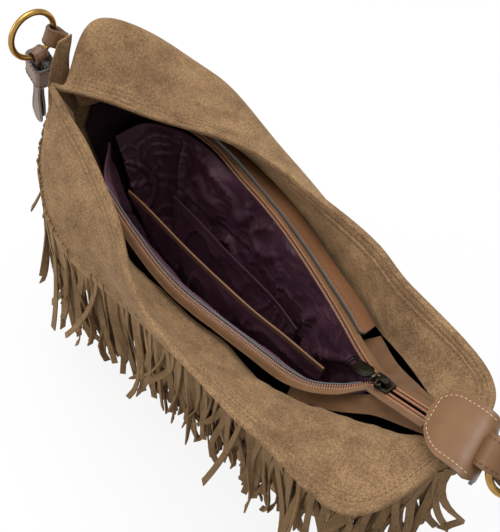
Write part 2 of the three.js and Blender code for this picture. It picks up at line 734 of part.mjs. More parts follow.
foldedBand('left_ring_loop', leftRing, -0.6, new THREE.Vector3(0.85, 0.4, -0.335), {
  near: 9, far: 9, width: loopWidth - 1, thickness: loopThickness, apart: loopThickness / 2 + touchGap,
});

// Strap ends. The right one is a folded band; the left one folds round its ring and ends in two paddle tails.
const rightBand = foldedBand('strap_right_end', rightRing, 2.25, new THREE.Vector3(0.95, 0.3, -0.12), {
  near: 34, far: 34, width: strapWidth, thickness: loopThickness,
  apart: strapThickness / 2 + loopThickness / 2 + touchGap,
});
const paddle = (t) => {
  const out = Math.abs(t - 0.5) * 2;
  const swell = THREE.MathUtils.smoothstep(out, 0.55, 0.85);
  const round = out > 0.9 ? Math.sqrt(Math.max(1 - ((out - 0.9) / 0.1) ** 2, 0.12)) : 1;
  const half = ((neckWidth + (tailWidth - neckWidth) * swell) / 2) * round;
  return box(-half, half, -loopThickness / 2, loopThickness / 2);
};
const legApart = loopThickness / 2 + touchGap;
const hangingOut = new THREE.Vector3(-0.295, -0.26, -0.919);
const leftBand = foldedBand('strap_left_end', leftRing, -Math.PI / 2, hangingOut, {
  near: 84, far: 77, width: neckWidth, thickness: loopThickness, apart: legApart,
  twist: -1.4, section: paddle,
});

// Keeper round both legs of the left end and the end of the shoulder strap
const strapBehind = legApart + loopThickness / 2 + touchGap + strapThickness / 2;
const keeperStart = 6.6;
const keeperInner = new THREE.Vector2(
  Math.hypot(neckWidth, loopThickness * 4) / 2 + keeperRoom,
  (legApart + loopThickness / 2 + strapBehind + strapThickness / 2) / 2 + keeperRoom,
);
function keeperOutline(target, grow) {
  const w = keeperInner.x + grow;
  const h = keeperInner.y + grow;
  const r = 2 + grow;
  target.moveTo(-w + r, -h);
  target.lineTo(w - r, -h);
  target.absarc(w - r, -h + r, r, -Math.PI / 2, 0);
  target.absarc(w - r, h - r, r, 0, Math.PI / 2);
  target.absarc(-w + r, h - r, r, Math.PI / 2, Math.PI);
  target.absarc(-w + r, -h + r, r, Math.PI, Math.PI * 1.5);
  return target;
}
const keeperShape = keeperOutline(new THREE.Shape(), keeperThickness);
keeperShape.holes.push(keeperOutline(new THREE.Path(), 0));
const keeper = new THREE.ExtrudeGeometry(keeperShape, {
  depth: keeperHeight, bevelEnabled: false, curveSegments: 4,
});
const keeperFrame = new THREE.Matrix4().makeBasis(
  leftBand.axis, new THREE.Vector3().crossVectors(leftBand.out, leftBand.axis).normalize(), leftBand.out,
);
const keeperShift = (strapBehind + strapThickness / 2 - legApart - loopThickness / 2) / 2;
keeperFrame.setPosition(leftBand.wire.clone()
  .addScaledVector(leftBand.out, keeperStart).addScaledVector(leftBand.side, -keeperShift));
add('strap_keeper', keeper.applyMatrix4(keeperFrame), leather);

// Shoulder strap, from the keeper down behind the left end, along the floor and up to the right end
const leftHang = (distance) => leftBand.wire.clone()
  .addScaledVector(leftBand.out, distance).addScaledVector(leftBand.side, -strapBehind);
const rightReach = (distance) => rightBand.wire.clone().addScaledVector(rightBand.out, distance);
const onFloor = (x, y, rise = 0) => spot(x, y, 0).setZ(strapThickness / 2 + floorGap + rise);
const acrossLeft = leftBand.axis;
const acrossRight = rightBand.axis.clone().negate();
const flat = new THREE.Vector3(0, 1, 0);
const strapRoute = [
  [leftHang(15), acrossLeft], [leftHang(21), acrossLeft], [leftHang(28), acrossLeft],
  [leftHang(34).addScaledVector(leftBand.side, -1), acrossLeft],
  [leftHang(46).addScaledVector(leftBand.side, -6), acrossLeft],
  [spot(-207, 18, 178), new THREE.Vector3(-0.9, 0.4, 0)],
  [spot(-208, 50, 136), new THREE.Vector3(-0.75, 0.65, 0)],
  [spot(-199, 82, 85), new THREE.Vector3(-0.5, 0.85, 0)],
  [spot(-180, 110, 36), new THREE.Vector3(-0.2, 1, 0)],
  [onFloor(-150, 126, 5), flat], [onFloor(-110, 130), flat], [onFloor(-40, 130), flat],
  [onFloor(40, 130), flat], [onFloor(110, 126), flat], [onFloor(160, 112, 4), flat],
  [spot(196, 94, 18), new THREE.Vector3(0.25, 0.97, 0)],
  [spot(222, 73, 48), new THREE.Vector3(0.3, 0.95, 0)],
  [spot(240, 52, 92), new THREE.Vector3(0.25, 0.97, 0)],
  [spot(250, 34, 140), new THREE.Vector3(0.1, 0.99, 0)],
  [spot(252, 20, 184), new THREE.Vector3(0, 0.95, 0.2)],
  [rightReach(58).setZ(rightReach(58).z - 12), acrossRight],
  [rightReach(44), acrossRight], [rightReach(34), acrossRight], [rightReach(24), acrossRight],
  [rightReach(14), acrossRight],
];
const strapPath = new THREE.CatmullRomCurve3(strapRoute.map(([point]) => point), false, 'catmullrom', 0.5);
const strapSides = new THREE.CatmullRomCurve3(strapRoute.map(([, side]) => side), false, 'catmullrom', 0.5);
const strapShape = (t) => {
  const grown = THREE.MathUtils.smoothstep(t, 0.08, 0.16);
  const half = (neckWidth + (strapWidth - neckWidth) * grown) / 2;
  return box(-half, half, -strapThickness / 2, strapThickness / 2);
};
add('shoulder_strap', sweptGeometry(strapPath, strapShape, (t) => strapSides.getPoint(t), 80), leather);

export default bag;
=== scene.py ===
# %% [markdown]
# A fringed suede shoulder bag stands open on its base, and is looked into from above. Its CAD solids
# are the fixed frame: they give the place and the size of every piece. This file gives each piece its
# real surface. All lengths in the code are in metres, unless a name or a helper says millimetres.

# %% Load the frame
import math
import bpy
import numpy as np
from mathutils import Matrix, Vector


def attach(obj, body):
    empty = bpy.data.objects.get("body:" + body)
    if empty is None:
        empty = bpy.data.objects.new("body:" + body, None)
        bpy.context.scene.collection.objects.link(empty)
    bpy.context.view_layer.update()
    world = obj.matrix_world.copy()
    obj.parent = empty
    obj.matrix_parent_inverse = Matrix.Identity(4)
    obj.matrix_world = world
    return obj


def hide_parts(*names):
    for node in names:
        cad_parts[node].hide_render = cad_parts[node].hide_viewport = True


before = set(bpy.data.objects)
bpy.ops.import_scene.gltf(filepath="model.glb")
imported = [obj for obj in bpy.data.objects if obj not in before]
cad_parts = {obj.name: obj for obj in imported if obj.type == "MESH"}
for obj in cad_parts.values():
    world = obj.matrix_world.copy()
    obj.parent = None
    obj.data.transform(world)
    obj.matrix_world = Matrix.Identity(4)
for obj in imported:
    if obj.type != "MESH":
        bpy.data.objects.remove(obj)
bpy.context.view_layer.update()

MM = 0.001

# %% [markdown]
# The camera comes first, because everything is judged through it. The long side of the bag runs from
# the upper left to the lower right of the picture and the mouth lies open, so the camera stands high,
# to the right of the front. A long lens was not used: the near end of the bag is clearly larger.

# %% Camera
CAMERA_TURN, CAMERA_RISE = math.radians(46), math.radians(57)
CAMERA_TARGET = Vector((-0.008, 0.013, 0.180))
CAMERA_AWAY = 0.560
back = Vector((math.sin(CAMERA_TURN) * math.cos(CAMERA_RISE),
               -math.cos(CAMERA_TURN) * math.cos(CAMERA_RISE), math.sin(CAMERA_RISE)))
camera_data = bpy.data.cameras.new("camera")
camera = bpy.data.objects.new("camera", camera_data)
bpy.context.scene.collection.objects.link(camera)
camera.location = CAMERA_TARGET + back * CAMERA_AWAY
camera.rotation_euler = back.to_track_quat("Z", "Y").to_euler()
camera_data.sensor_fit = "HORIZONTAL"
camera_data.sensor_width = 36
camera_data.lens = 62.5
camera_data.clip_start = 0.01
bpy.context.scene.camera = camera
print("camera at", [round(x, 3) for x in camera.location])

# %% [markdown]
# Light: a large soft lamp over the bag and a weaker one from the front left, with a pale world. The
# background is white to the camera, to gloss and to clear things; the floor keeps a part of its real
# light, so that it still takes the shadow.

# %% Light, world and floor
def soft_lamp(name, place, aim, size, power):
    data = bpy.data.lights.new(name, "AREA")
    data.shape, data.size, data.size_y, data.energy = "RECTANGLE", size, size, power
    lamp = bpy.data.objects.new(name, data)
    lamp.location = place
    lamp.rotation_euler = (Vector(place) - Vector(aim)).to_track_quat("Z", "Y").to_euler()
    bpy.context.scene.collection.objects.link(lamp)
    return lamp


soft_lamp("top_lamp", (-0.15, 0.25, 1.5), (0, 0, 0.15), 1.1, 17)
soft_lamp("front_lamp", (-0.9, -0.9, 0.9), (0, 0, 0.12), 0.9, 6)
scene = bpy.context.scene
scene.view_settings.view_transform = "Standard"
world = bpy.data.worlds.new("studio")
scene.world = world
world.use_nodes = True

# %% [markdown]
# Shader maths is easier to read as sums than as node calls. A Wire is one socket; adding or
# multiplying wires adds the Math nodes. A Finish is one material, and adds any other node.

# %% Wires and finishes
class Wire:
    """One socket of a material, on which sums and products can be written."""

    def __init__(self, finish, socket):
        self.finish, self.socket = finish, socket

    def sum(self, operation, first, second=None):
        values = {0: first} if second is None else {0: first, 1: second}
        return self.finish.add("ShaderNodeMath", {"operation": operation}, values)

    def __add__(self, other):
        return self.sum("ADD", self, other)

    def __sub__(self, other):
        return self.sum("SUBTRACT", self, other)

    def __mul__(self, other):
        return self.sum("MULTIPLY", self, other)

    def __truediv__(self, other):
        return self.sum("DIVIDE", self, other)

    def __pow__(self, other):
        return self.sum("POWER", self, other)

    def __rsub__(self, other):
        return self.sum("SUBTRACT", other, self)

    __radd__, __rmul__ = __add__, __mul__

    def clipped(self):
        return self.sum("MINIMUM", self.sum("MAXIMUM", self, 0.0), 1.0)

    def part(self, index):
        return Wire(self.finish, self.socket.node.outputs[index])


class Finish:
    """One material, with one method that adds any node."""

    def __init__(self, name):
        self.material = bpy.data.materials.new(name)
        self.material.use_nodes = True
        self.tree = self.material.node_tree
        self.tree.nodes.clear()

    def add(self, kind, settings=None, values=None, output=0):
        node = self.tree.nodes.new(kind)
        for key, value in (settings or {}).items():
            if key == "stops":
                for place, colour in zip(node.color_ramp.elements, value):
                    place.position, place.color = colour
            else:
                setattr(node, key, value)
        for key, value in (values or {}).items():
            socket = node.inputs[key]
            if isinstance(value, Wire):
                self.tree.links.new(value.socket, socket)
            else:
                socket.default_value = value
        return Wire(self, node.outputs[output])

    def mix(self, factor, first, second, how="MIX"):
        settings = {"data_type": "RGBA", "blend_type": how, "clamp_factor": True}
        return self.add("ShaderNodeMix", settings, {0: factor, 6: first, 7: second}, 2)

    def place(self):
        """Object coordinates, which are real metres on every piece here."""
        return self.add("ShaderNodeTexCoord", None, None, 3)

    def cloth(self):
        """The piece's own UV map, in metres of cloth."""
        return self.add("ShaderNodeUVMap", {"uv_map": "cloth"})

    def noise(self, place, size, detail=3.0, rough=0.55):
        values = {"Vector": place, "Scale": 1 / size, "Detail": detail, "Roughness": rough}
        return self.add("ShaderNodeTexNoise", None, values)

    def bump(self, height, strength, distance, normal=None):
        values = {"Height": height, "Strength": strength, "Distance": distance}
        if normal is not None:
            values["Normal"] = normal
        return self.add("ShaderNodeBump", None, values)

    def close(self, colour, roughness, normal=None, **constants):
        values = {"Base Color": colour, "Roughness": roughness, **constants}
        if normal is not None:
            values["Normal"] = normal
        return self.show(self.add("ShaderNodeBsdfPrincipled", None, values))

    def show(self, shader):
        out = self.tree.nodes.new("ShaderNodeOutputMaterial")
        self.tree.links.new(shader.socket, out.inputs["Surface"])
        return self.material


def tone(code, level=1.0):
    """A screen colour such as A98B67 as the linear colour that a shader takes."""
    parts = [int(code[k:k + 2], 16) / 255 for k in (0, 2, 4)]
    linear = [(p / 12.92 if p <= 0.04045 else ((p + 0.055) / 1.055) ** 2.4) * level for p in parts]
    return (*linear, 1.0)


print("suede tone", [round(x, 3) for x in tone("A98B67")])

# %% [markdown]
# Suede is leather with its fibres brushed up, so it has no gloss. Its colour drifts in broad clouds
# where the nap lies one way or the other, and it is peppered with fine dark and pale fibres. The noise
# reads Object coordinates, which are real metres here, so the grain has one size on every piece.

# %% Suede
def suede_finish(name, lit, shade, strand=False):
    f = Finish(name)
    place = f.place()
    clouds = f.noise(place, 0.060, 4.0)
    patches = f.noise(place, 0.012, 5.0, 0.6)
    nap = f.noise(place, 0.0012, 5.0, 0.8)
    fibres = f.noise(place, 0.00045, 2.0, 0.7)
    mask = ((clouds - 0.5) * 1.5 + (patches - 0.5) * 1.7 + (nap - 0.5) * 2.2 + 0.5).clipped()
    colour = f.mix(mask, tone(shade), tone(lit))
    pores = ((fibres * nap - 0.20) * 9.0).clipped()
    colour = f.mix(pores * 0.5 + 0.5, tone("4A3926"), colour)
    if strand:
        shift = f.add("ShaderNodeAttribute", {"attribute_name": "strand"}, None, 2)
        colour = f.mix(shift * 0.45, colour, tone("6E5238"))
    normal = f.bump(patches * 0.4 + nap + fibres * 0.5, 0.45, 0.0006)
    return f.close(colour, 0.96, normal, **{
        "Sheen Weight": 0.35, "Sheen Roughness": 0.45, "Sheen Tint": tone("C9AC86"),
        "Specular IOR Level": 0.12,
    })


suede = suede_finish("suede", "AC8A64", "745840")
fringe_suede = suede_finish("fringe_suede", "A08059", "7B5F42", strand=True)
print("suede finishes", suede.name, fringe_suede.name)

# %% [markdown]
# Smooth leather has a low gloss over a fine pebbled grain, and the side of each cut strip is painted
# with a thick slate-brown paint. Grain comes from a Voronoi pattern's cells, used as a bump only.

# %% Leather, edge paint and thread
def leather_finish(name, lit, shade, gloss=0.42):
    f = Finish(name)
    place = f.place()
    clouds = f.noise(place, 0.028, 4.0)
    specks = f.noise(place, 0.0022, 4.0, 0.7)
    cells = f.add("ShaderNodeTexVoronoi", {"feature": "DISTANCE_TO_EDGE"},
                  {"Vector": place, "Scale": 1 / 0.0009})
    mask = ((clouds - 0.5) * 1.6 + (specks - 0.5) * 0.5 + 0.5).clipped()
    colour = f.mix(mask, tone(shade), tone(lit))
    normal = f.bump(cells * 0.8 + specks * 0.5, 0.22, 0.0003)
    roughness = (specks - 0.5) * 0.25 + gloss
    return f.close(colour, roughness, normal, **{"Specular IOR Level": 0.45})


def paint_finish(name, colour_code, gloss):
    f = Finish(name)
    place = f.place()
    smears = f.noise(place, 0.004, 4.0)
    colour = f.mix(smears, tone(colour_code, 0.75), tone(colour_code, 1.25))
    normal = f.bump(f.noise(place, 0.0015, 2.0), 0.2, 0.0003)
    return f.close(colour, smears * 0.2 + gloss, normal)


def thread_finish(name, colour_code):
    f = Finish(name)
    place = f.place()
    ply = f.noise(place, 0.0005, 2.0)
    colour = f.mix(ply, tone(colour_code, 0.6), tone(colour_code, 1.2))
    return f.close(colour, 0.7, f.bump(ply, 0.5, 0.0002))


leather = leather_finish("leather", "7E5A38", "68482B")
strip_leather = leather_finish("strip_leather", "80583A", "67452C", 0.5)
tail_leather = leather_finish("tail_leather", "7A5A44", "62442F", 0.36)
slate_paint = paint_finish("slate_paint", "474B4C", 0.32)
brown_paint = paint_finish("brown_paint", "2C2B2A", 0.3)
cream_thread = thread_finish("cream_thread", "D8BC9A")
brown_thread = thread_finish("brown_thread", "5A3826")
tan_thread = thread_finish("tan_thread", "7A5E3E")
plum_thread = thread_finish("plum_thread", "6B4556")
print("leather, paint and thread are ready")

# %% [markdown]
# The lining is a plum satin. Satin is smooth along its floating threads, so its folds catch soft
# streaks of light. The zip's tape and its gussets are a brown twill with fine diagonal ribs, which
# follow the cloth, so they read the piece's own UV map. One UV unit is one metre of cloth.

# %% Satin and twill
def satin_finish(name, lit, shade):
    f = Finish(name)
    place = f.place()
    cloth = f.cloth()
    clouds = f.noise(place, 0.020, 4.0)
    weave = f.add("ShaderNodeTexWave", {"wave_type": "BANDS", "bands_direction": "Y"},
                  {"Vector": cloth, "Scale": 1 / 0.0009, "Distortion": 0.6, "Detail": 1.0})
    crumple = f.noise(place, 0.006, 5.0, 0.6)
    colour = f.mix(clouds, tone(shade), tone(lit))
    normal = f.bump(weave * 0.2 + crumple * 2.0, 0.35, 0.0006)
    return f.close(colour, (crumple - 0.5) * 0.3 + 0.42, normal, **{
        "Sheen Weight": 0.3, "Sheen Roughness": 0.3, "Sheen Tint": tone("8C6878"),
        "Specular IOR Level": 0.4,
    })


def twill_finish(name, lit, shade):
    f = Finish(name)
    cloth = f.cloth()
    place = f.place()
    ribs = f.add("ShaderNodeTexWave", {"wave_type": "BANDS", "bands_direction": "DIAGONAL"},
                 {"Vector": cloth, "Scale": 1 / 0.0018, "Distortion": 1.6, "Detail": 2.0})
    clouds = f.noise(place, 0.010, 4.0)
    slubs = f.noise(place, 0.0009, 3.0)
    mask = (ribs * 0.3 + clouds * 0.7 + slubs * 0.5 - 0.25).clipped()
    colour = f.mix(mask, tone(shade), tone(lit))
    return f.close(colour, 0.82, f.bump(ribs + slubs * 0.6, 0.6, 0.0004), **{
        "Sheen Weight": 0.15, "Specular IOR Level": 0.2,
    })


satin = satin_finish("satin", "66404F", "38202C")
# The second satin is the same plum satin made much darker: painted shade for the outer linings and the
# centre compartment's foot, deep inside the bag.
satin_painted_shade = satin_finish("satin_painted_shade", "2E1A24", "190C13")
twill = twill_finish("twill", "84603F", "5C3F28")
print("satin and twill are ready")

# %% [markdown]
# Metal shows its surroundings, so it gets fine scratches and a little tarnish to break them up. The
# nylon coil is a glossy brown plastic with random paler and darker spots. The core under its loops is a
# much darker copy of it: painted shade in the gaps between the loops.

# %% Metal and coil
def metal_finish(name, bright, tarnish, roughness):
    f = Finish(name)
    place = f.place()
    spots = f.noise(place, 0.005, 4.0)
    scratch = f.noise(place, 0.0006, 3.0)
    colour = f.mix((spots * 1.6 - 0.4).clipped(), tone(tarnish), tone(bright))
    return f.close(colour, (scratch - 0.5) * 0.18 + roughness, f.bump(scratch, 0.12, 0.0002), Metallic=1.0)


def coil_finish(name, lit, shade):
    f = Finish(name)
    place = f.place()
    spots = f.noise(place, 0.0015, 3.0)
    colour = f.mix(spots, tone(shade), tone(lit))
    return f.close(colour, 0.34, f.bump(spots, 0.1, 0.0002), **{"Coat Weight": 0.25})


gold = metal_finish("gold", "C9A057", "94703A", 0.24)
gunmetal = metal_finish("gunmetal", "4E4B42", "2C2A25", 0.3)
coil = coil_finish("coil", "C08A66", "98623F")
# The core's finish is a much darker copy of the coil: painted shade in the gaps between the loops.
coil_core_painted_shade = coil_finish("coil_core_painted_shade", "3A2114", "241309")
print("metal and coil are ready")

# %% Floor, backdrop and world
def studio_surface():
    """White to the camera, to gloss and to clear things, with part of the real light kept for the shadow."""
    f = Finish("studio_white")
    path = f.add("ShaderNodeLightPath")
    seen = (path + path.part(3) + path.part(6)).clipped()
    real = f.add("ShaderNodeBsdfDiffuse", None, {"Color": (0.86, 0.86, 0.86, 1)})
    white = f.add("ShaderNodeEmission", None, {"Color": (1, 1, 1, 1), "Strength": 1.0})
    return f.show(f.add("ShaderNodeMixShader", None, {0: seen * 0.86, 1: real, 2: white}))


nodes, links = world.node_tree.nodes, world.node_tree.links
nodes.clear()
path = nodes.new("ShaderNodeLightPath")
shown = nodes.new("ShaderNodeBackground")
shown.inputs["Strength"].default_value = 1.0
lighting = nodes.new("ShaderNodeBackground")
lighting.inputs["Color"].default_value = (0.95, 0.97, 1.0, 1)
lighting.inputs["Strength"].default_value = 0.55
seen = path.outputs["Is Camera Ray"]
for other in ("Is Glossy Ray", "Is Transmission Ray"):
    either = nodes.new("ShaderNodeMath")
    either.operation = "MAXIMUM"
    links.new(seen, either.inputs[0])
    links.new(path.outputs[other], either.inputs[1])
    seen = either.outputs[0]
chosen = nodes.new("ShaderNodeMixShader")
links.new(seen, chosen.inputs[0])
links.new(lighting.outputs[0], chosen.inputs[1])
links.new(shown.outputs[0], chosen.inputs[2])
links.new(chosen.outputs[0], nodes.new("ShaderNodeOutputWorld").inputs["Surface"])
bpy.ops.object.select_all(action="DESELECT")
bpy.ops.mesh.primitive_plane_add(size=8, location=(0, 0, -0.0002))
floor = bpy.context.object
floor.name = "floor"
bpy.ops.object.transform_apply(location=True, rotation=True, scale=True)
floor.data.materials.append(studio_surface())
print("floor", floor.name)

# %% [markdown]
# Every soft piece starts as a smooth sheet stretched over a few rails, as in the CAD. A rail is a
# smooth line through a handful of points. Lofting the rails gives a grid of points, and the grid gets
# its folds, hems and thickness in numbers, which is far easier to control here than pushing vertices.

# %% Smooth lines and lofted grids
def smooth_line(points, places):
    """The points at 'places', from 0 to 1, of the smooth line through the given points."""
    points = np.asarray(points, float)
    spans = len(points) - 1
    along = np.clip(np.asarray(places, float), 0, 1) * spans
    first = np.minimum(along.astype(int), spans - 1)
    w = (along - first).reshape(-1, *[1] * (points.ndim - 1))
    ends = np.concatenate([[2 * points[0] - points[1]], points, [2 * points[-1] - points[-2]]])
    before, start, end, after = (ends[first + k] for k in range(4))
    leave, arrive = (end - before) / 2, (after - start) / 2
    return (start * (2 * w**3 - 3 * w**2 + 1) + leave * (w**3 - 2 * w**2 + w)
            + end * (3 * w**2 - 2 * w**3) + arrive * (w**3 - w**2))


def millimetres(*points):
    return np.array(points, float) * MM


def lofted(rails, u, v):
    across = np.stack([smooth_line(rail, u) for rail in rails])
    return smooth_line(across, v)


def unit(vectors):
    return vectors / np.maximum(np.linalg.norm(vectors, axis=-1, keepdims=True), 1e-12)


def square_to(vectors, ahead):
    """The unit vectors nearest to the given ones that stand at right angles to 'ahead'."""
    return unit(vectors - ahead * (vectors * ahead).sum(-1, keepdims=True))


def grid_normals(grid):
    return unit(np.cross(np.gradient(grid, axis=1), np.gradient(grid, axis=0)))


def ramp(values, low, high):
    """0 below low, 1 above high and a soft step between them."""
    x = np.clip((values - low) / (high - low), 0, 1)
    return x * x * (3 - 2 * x)


def swell(points, size, seed, ways=9):
    """Soft random humps about 'size' apart, from about -1 to 1, the same in every run."""
    draw = np.random.default_rng(seed)
    directions = unit(draw.normal(size=(ways, 3))) * (2 * math.pi / size)
    directions *= draw.uniform(0.6, 1.3, (ways, 1))
    phases = draw.uniform(0, 2 * math.pi, ways)
    return np.sin(points @ directions.T + phases).sum(-1) / math.sqrt(ways)


def creases(points, size, seed):
    """Sharp soft-sided ridges where two sets of humps meet, from 0 to 1."""
    bent = points + 0.25 * size * np.stack([swell(points, size * 1.5, seed + k) for k in (1, 2, 3)], -1)
    return 1 - np.minimum(np.abs(swell(bent, size, seed)) * 1.6, 1)


print("a straight line's middle", smooth_line(millimetres([0, 0, 0], [10, 0, 0]), [0.5])[0])

# %% [markdown]
# The whole bag slouches: walls, facings and linings lean and dent together. So one field of soft
# humps moves every layer by the same amount at the same place, and no layer is pushed through its
# neighbour. It fades out at the base, at both ends and round the closed zip, where hard pieces hold.

# %% The shared slouch
SLOUCH = 2.2 * MM


def slouched(points):
    shape = points.shape
    flat = points.reshape(-1, 3)
    x, z = flat[:, 0], flat[:, 2]
    free = ramp(x, -0.160, -0.120) * (1 - ramp(x, 0.050, 0.085)) * ramp(z, 0.005, 0.050)
    move = np.stack([swell(flat, 0.11, seed) for seed in (11, 12, 13)], -1)
    return (flat + move * SLOUCH * free[:, None]).reshape(shape)


print("slouch of up to", SLOUCH, "m")

# %% [markdown]
# A slab is a sheet with two faces: the grid moved along its own normal by 'near' and by 'far'. Both may
# change over the sheet, which is how a folded hem becomes thicker. Its cut edge is the second material.
# The UV map counts real metres of cloth, along and across.

# %% Slabs of cloth and leather
def new_piece(name, body="bag"):
    mesh = bpy.data.meshes.new(name)
    piece = bpy.data.objects.new(name, mesh)
    bpy.context.scene.collection.objects.link(piece)
    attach(piece, body)
    return piece


def pick(piece):
    bpy.ops.object.select_all(action="DESELECT")
    piece.select_set(True)
    bpy.context.view_layer.objects.active = piece


def apply_modifier(piece, kind, **settings):
    pick(piece)
    modifier = piece.modifiers.new(kind.lower(), kind)
    for key, value in settings.items():
        setattr(modifier, key, value)
    bpy.ops.object.modifier_apply(modifier=modifier.name)


def soften(piece, angle=35):
    pick(piece)
    bpy.ops.object.shade_smooth_by_angle(angle=math.radians(angle))


def turn_outwards(piece):
    """All faces of a closed shell turned to face outwards."""
    pick(piece)
    bpy.ops.object.mode_set(mode="EDIT")
    bpy.ops.mesh.select_all(action="SELECT")
    bpy.ops.mesh.normals_make_consistent(inside=False)
    bpy.ops.object.mode_set(mode="OBJECT")


def give_cloth_map(mesh, uv):
    """A UV map in metres of cloth, from one pair of numbers for each vertex."""
    corners = np.empty(len(mesh.loops), int)
    mesh.loops.foreach_get("vertex_index", corners)
    mesh.uv_layers.new(name="cloth").data.foreach_set("uv", uv[corners].ravel())


def give_finishes(piece, finishes, painted=()):
    """The piece's material, or two: the second then goes on the painted faces."""
    finishes = finishes if isinstance(finishes, (list, tuple)) else [finishes]
    for finish in finishes:
        piece.data.materials.append(finish)
    if len(finishes) > 1:
        for index in painted:
            piece.data.polygons[index].material_index = 1


def label(replaces=()):
    """Hides the CAD nodes that the piece stands for."""
    if replaces:
        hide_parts(*replaces)


def distances(line):
    """How far along the line each of its points is."""
    return np.concatenate([[0], np.cumsum(np.linalg.norm(np.diff(line, axis=0), axis=1))])


def cloth_lengths(grid):
    """The distances along a sheet's middle row and up its middle column."""
    return distances(grid[len(grid) // 2]), distances(grid[:, grid.shape[1] // 2])


def slab(name, grid, near, far, finishes, replaces=(), body="bag", closed=False,
         edge=0.3 * MM, normals=None):
    """A closed sheet. finishes is its material, or that and the material of its cut edge."""
    rows, columns = grid.shape[:2]
    normals = grid_normals(grid) if normals is None else normals
    near = np.broadcast_to(np.asarray(near, float), (rows, columns))[..., None]
    far = np.broadcast_to(np.asarray(far, float), (rows, columns))[..., None]
    points = np.concatenate([(grid + normals * near).reshape(-1, 3), (grid + normals * far).reshape(-1, 3)])
    layer = rows * columns
    r, c = np.meshgrid(np.arange(rows - 1), np.arange(columns if closed else columns - 1), indexing="ij")
    a, b = (r * columns + c).ravel(), (r * columns + (c + 1) % columns).ravel()
    quads = np.stack([a, b, b + columns, a + columns], -1)
    rims = [(np.arange(columns), False), (np.arange(columns) + layer - columns, True)]
    if not closed:
        rims += [(np.arange(rows) * columns, True), (np.arange(rows) * columns + columns - 1, False)]
    sides = []
    for line, turned in rims:
        starts, ends = line[:-1], line[1:]
        if closed:
            starts, ends = line, np.roll(line, -1)
        side = np.stack([starts, starts + layer, ends + layer, ends], -1)
        sides.append(side[:, ::-1] if turned else side)
    sides = np.concatenate(sides)
    faces = np.concatenate([quads, quads[:, ::-1] + layer, sides])
    p = points[faces]
    if np.einsum("ij,ij->i", p[:, 0], np.cross(p[:, 1] - p[:, 0], p[:, 2] - p[:, 0])
                 + np.cross(p[:, 2] - p[:, 0], p[:, 3] - p[:, 0])).sum() < 0:
        faces = faces[:, ::-1]
    piece = new_piece(name, body)
    mesh = piece.data
    mesh.from_pydata(points.tolist(), [], faces.tolist())
    along, up = cloth_lengths(grid)
    u, v = np.meshgrid(along, up)
    uv = np.tile(np.stack([u, v], -1).reshape(-1, 2), (2, 1))
    give_cloth_map(mesh, uv)
    give_finishes(piece, finishes, range(len(faces) - len(sides), len(faces)))
    if edge:
        apply_modifier(piece, "BEVEL", limit_method="ANGLE", angle_limit=math.radians(50), width=edge,
                       segments=2, use_clamp_overlap=True)
    soften(piece, 50)
    label(replaces)
    return piece


def lay_flat(piece, grid):
    """Prints the flat cut of a cloth sheet, which is the smooth sheet before it was creased."""
    along = np.linalg.norm(np.diff(grid, axis=1), axis=2).sum(1).max()
    up = np.linalg.norm(np.diff(grid, axis=0), axis=2).sum(0).max()
    a, b, c = grid[:-1, :-1], grid[:-1, 1:], grid[1:, :-1]
    area = np.linalg.norm(np.cross(b - a, c - a), axis=-1).sum()
    area = min(area, along * up)
    print(f"{piece.name}: cut {along * 1000:.0f} x {up * 1000:.0f} mm, area {area * 1e4:.0f} cm2, "
          f"{len(piece.data.polygons)} faces")

# %% [markdown]
# Stitches are tiny capsules in a row, sunk a little into the cloth. One is modelled as a squashed
# sphere, and its points are then copied along a line: this is one mesh for a whole row, and each stitch
# has only a few faces.

# %% Stitch rows
bpy.ops.object.select_all(action="DESELECT")
bpy.ops.mesh.primitive_uv_sphere_add(segments=6, ring_count=4, radius=0.5)
pattern = bpy.context.object
BEAD_POINTS = np.array([v.co[:] for v in pattern.data.vertices])
BEAD_FACES = [tuple(p.vertices) for p in pattern.data.polygons]
bpy.data.objects.remove(pattern, do_unlink=True)


def beads(name, centres, ways, sides, lifts, size, finish, body="bag"):
    """One mesh of many little beads: 'size' is each bead's length, width and height."""
    size = np.broadcast_to(np.asarray(size, float), (len(centres), 3))
    frames = np.stack([ways, sides, lifts], 1)
    points = centres[:, None] + np.einsum("pk,nk,nkc->npc", BEAD_POINTS, size, frames)
    count = len(BEAD_POINTS)
    faces = [[k * count + i for i in face] for k in range(len(centres)) for face in BEAD_FACES]
    piece = new_piece(name, body)
    piece.data.from_pydata(points.reshape(-1, 3).tolist(), [], faces)
    give_finishes(piece, finish)
    turn_outwards(piece)
    soften(piece, 60)
    label()
    print(f"{name}: {len(centres)} pieces")
    return piece


def even_places(line, pitch, inset=0.5):
    """Places at an even real pitch along a dense line of points."""
    steps = distances(line)
    count = max(int(steps[-1] / pitch), 2)
    return np.interp((np.arange(count) + inset) * steps[-1] / count, steps, np.arange(len(line)))


def at_places(values, places):
    return np.stack([np.interp(places, np.arange(len(values)), values[:, k]) for k in range(3)], -1)


FINE = 0.5 * MM  # the width of the thinner thread in satin and leather


def stitch_row(name, line, normals, finish, pitch=3.1 * MM, length=2.2 * MM, width=0.62 * MM,
               rise=0.12 * MM, body="bag"):
    places = even_places(line, pitch)
    centres = at_places(line, places)
    ways = unit(at_places(np.gradient(line, axis=0), places))
    lifts = square_to(at_places(normals, places), ways)
    size = (length, width, width)
    return beads(name, centres + lifts * rise, ways, np.cross(lifts, ways), lifts, size, finish, body)


def row_on(grid, share, offset=0.0):
    """A line across a grid at one share of its height, with its normals."""
    normals = grid_normals(grid)
    at = share * (len(grid) - 1)
    low = int(min(at, len(grid) - 2))
    w = at - low
    line = grid[low] * (1 - w) + grid[low + 1] * w
    normal = unit(normals[low] * (1 - w) + normals[low + 1] * w)
    return line + normal * offset, normal


print("a stitch has", len(BEAD_FACES), "faces")

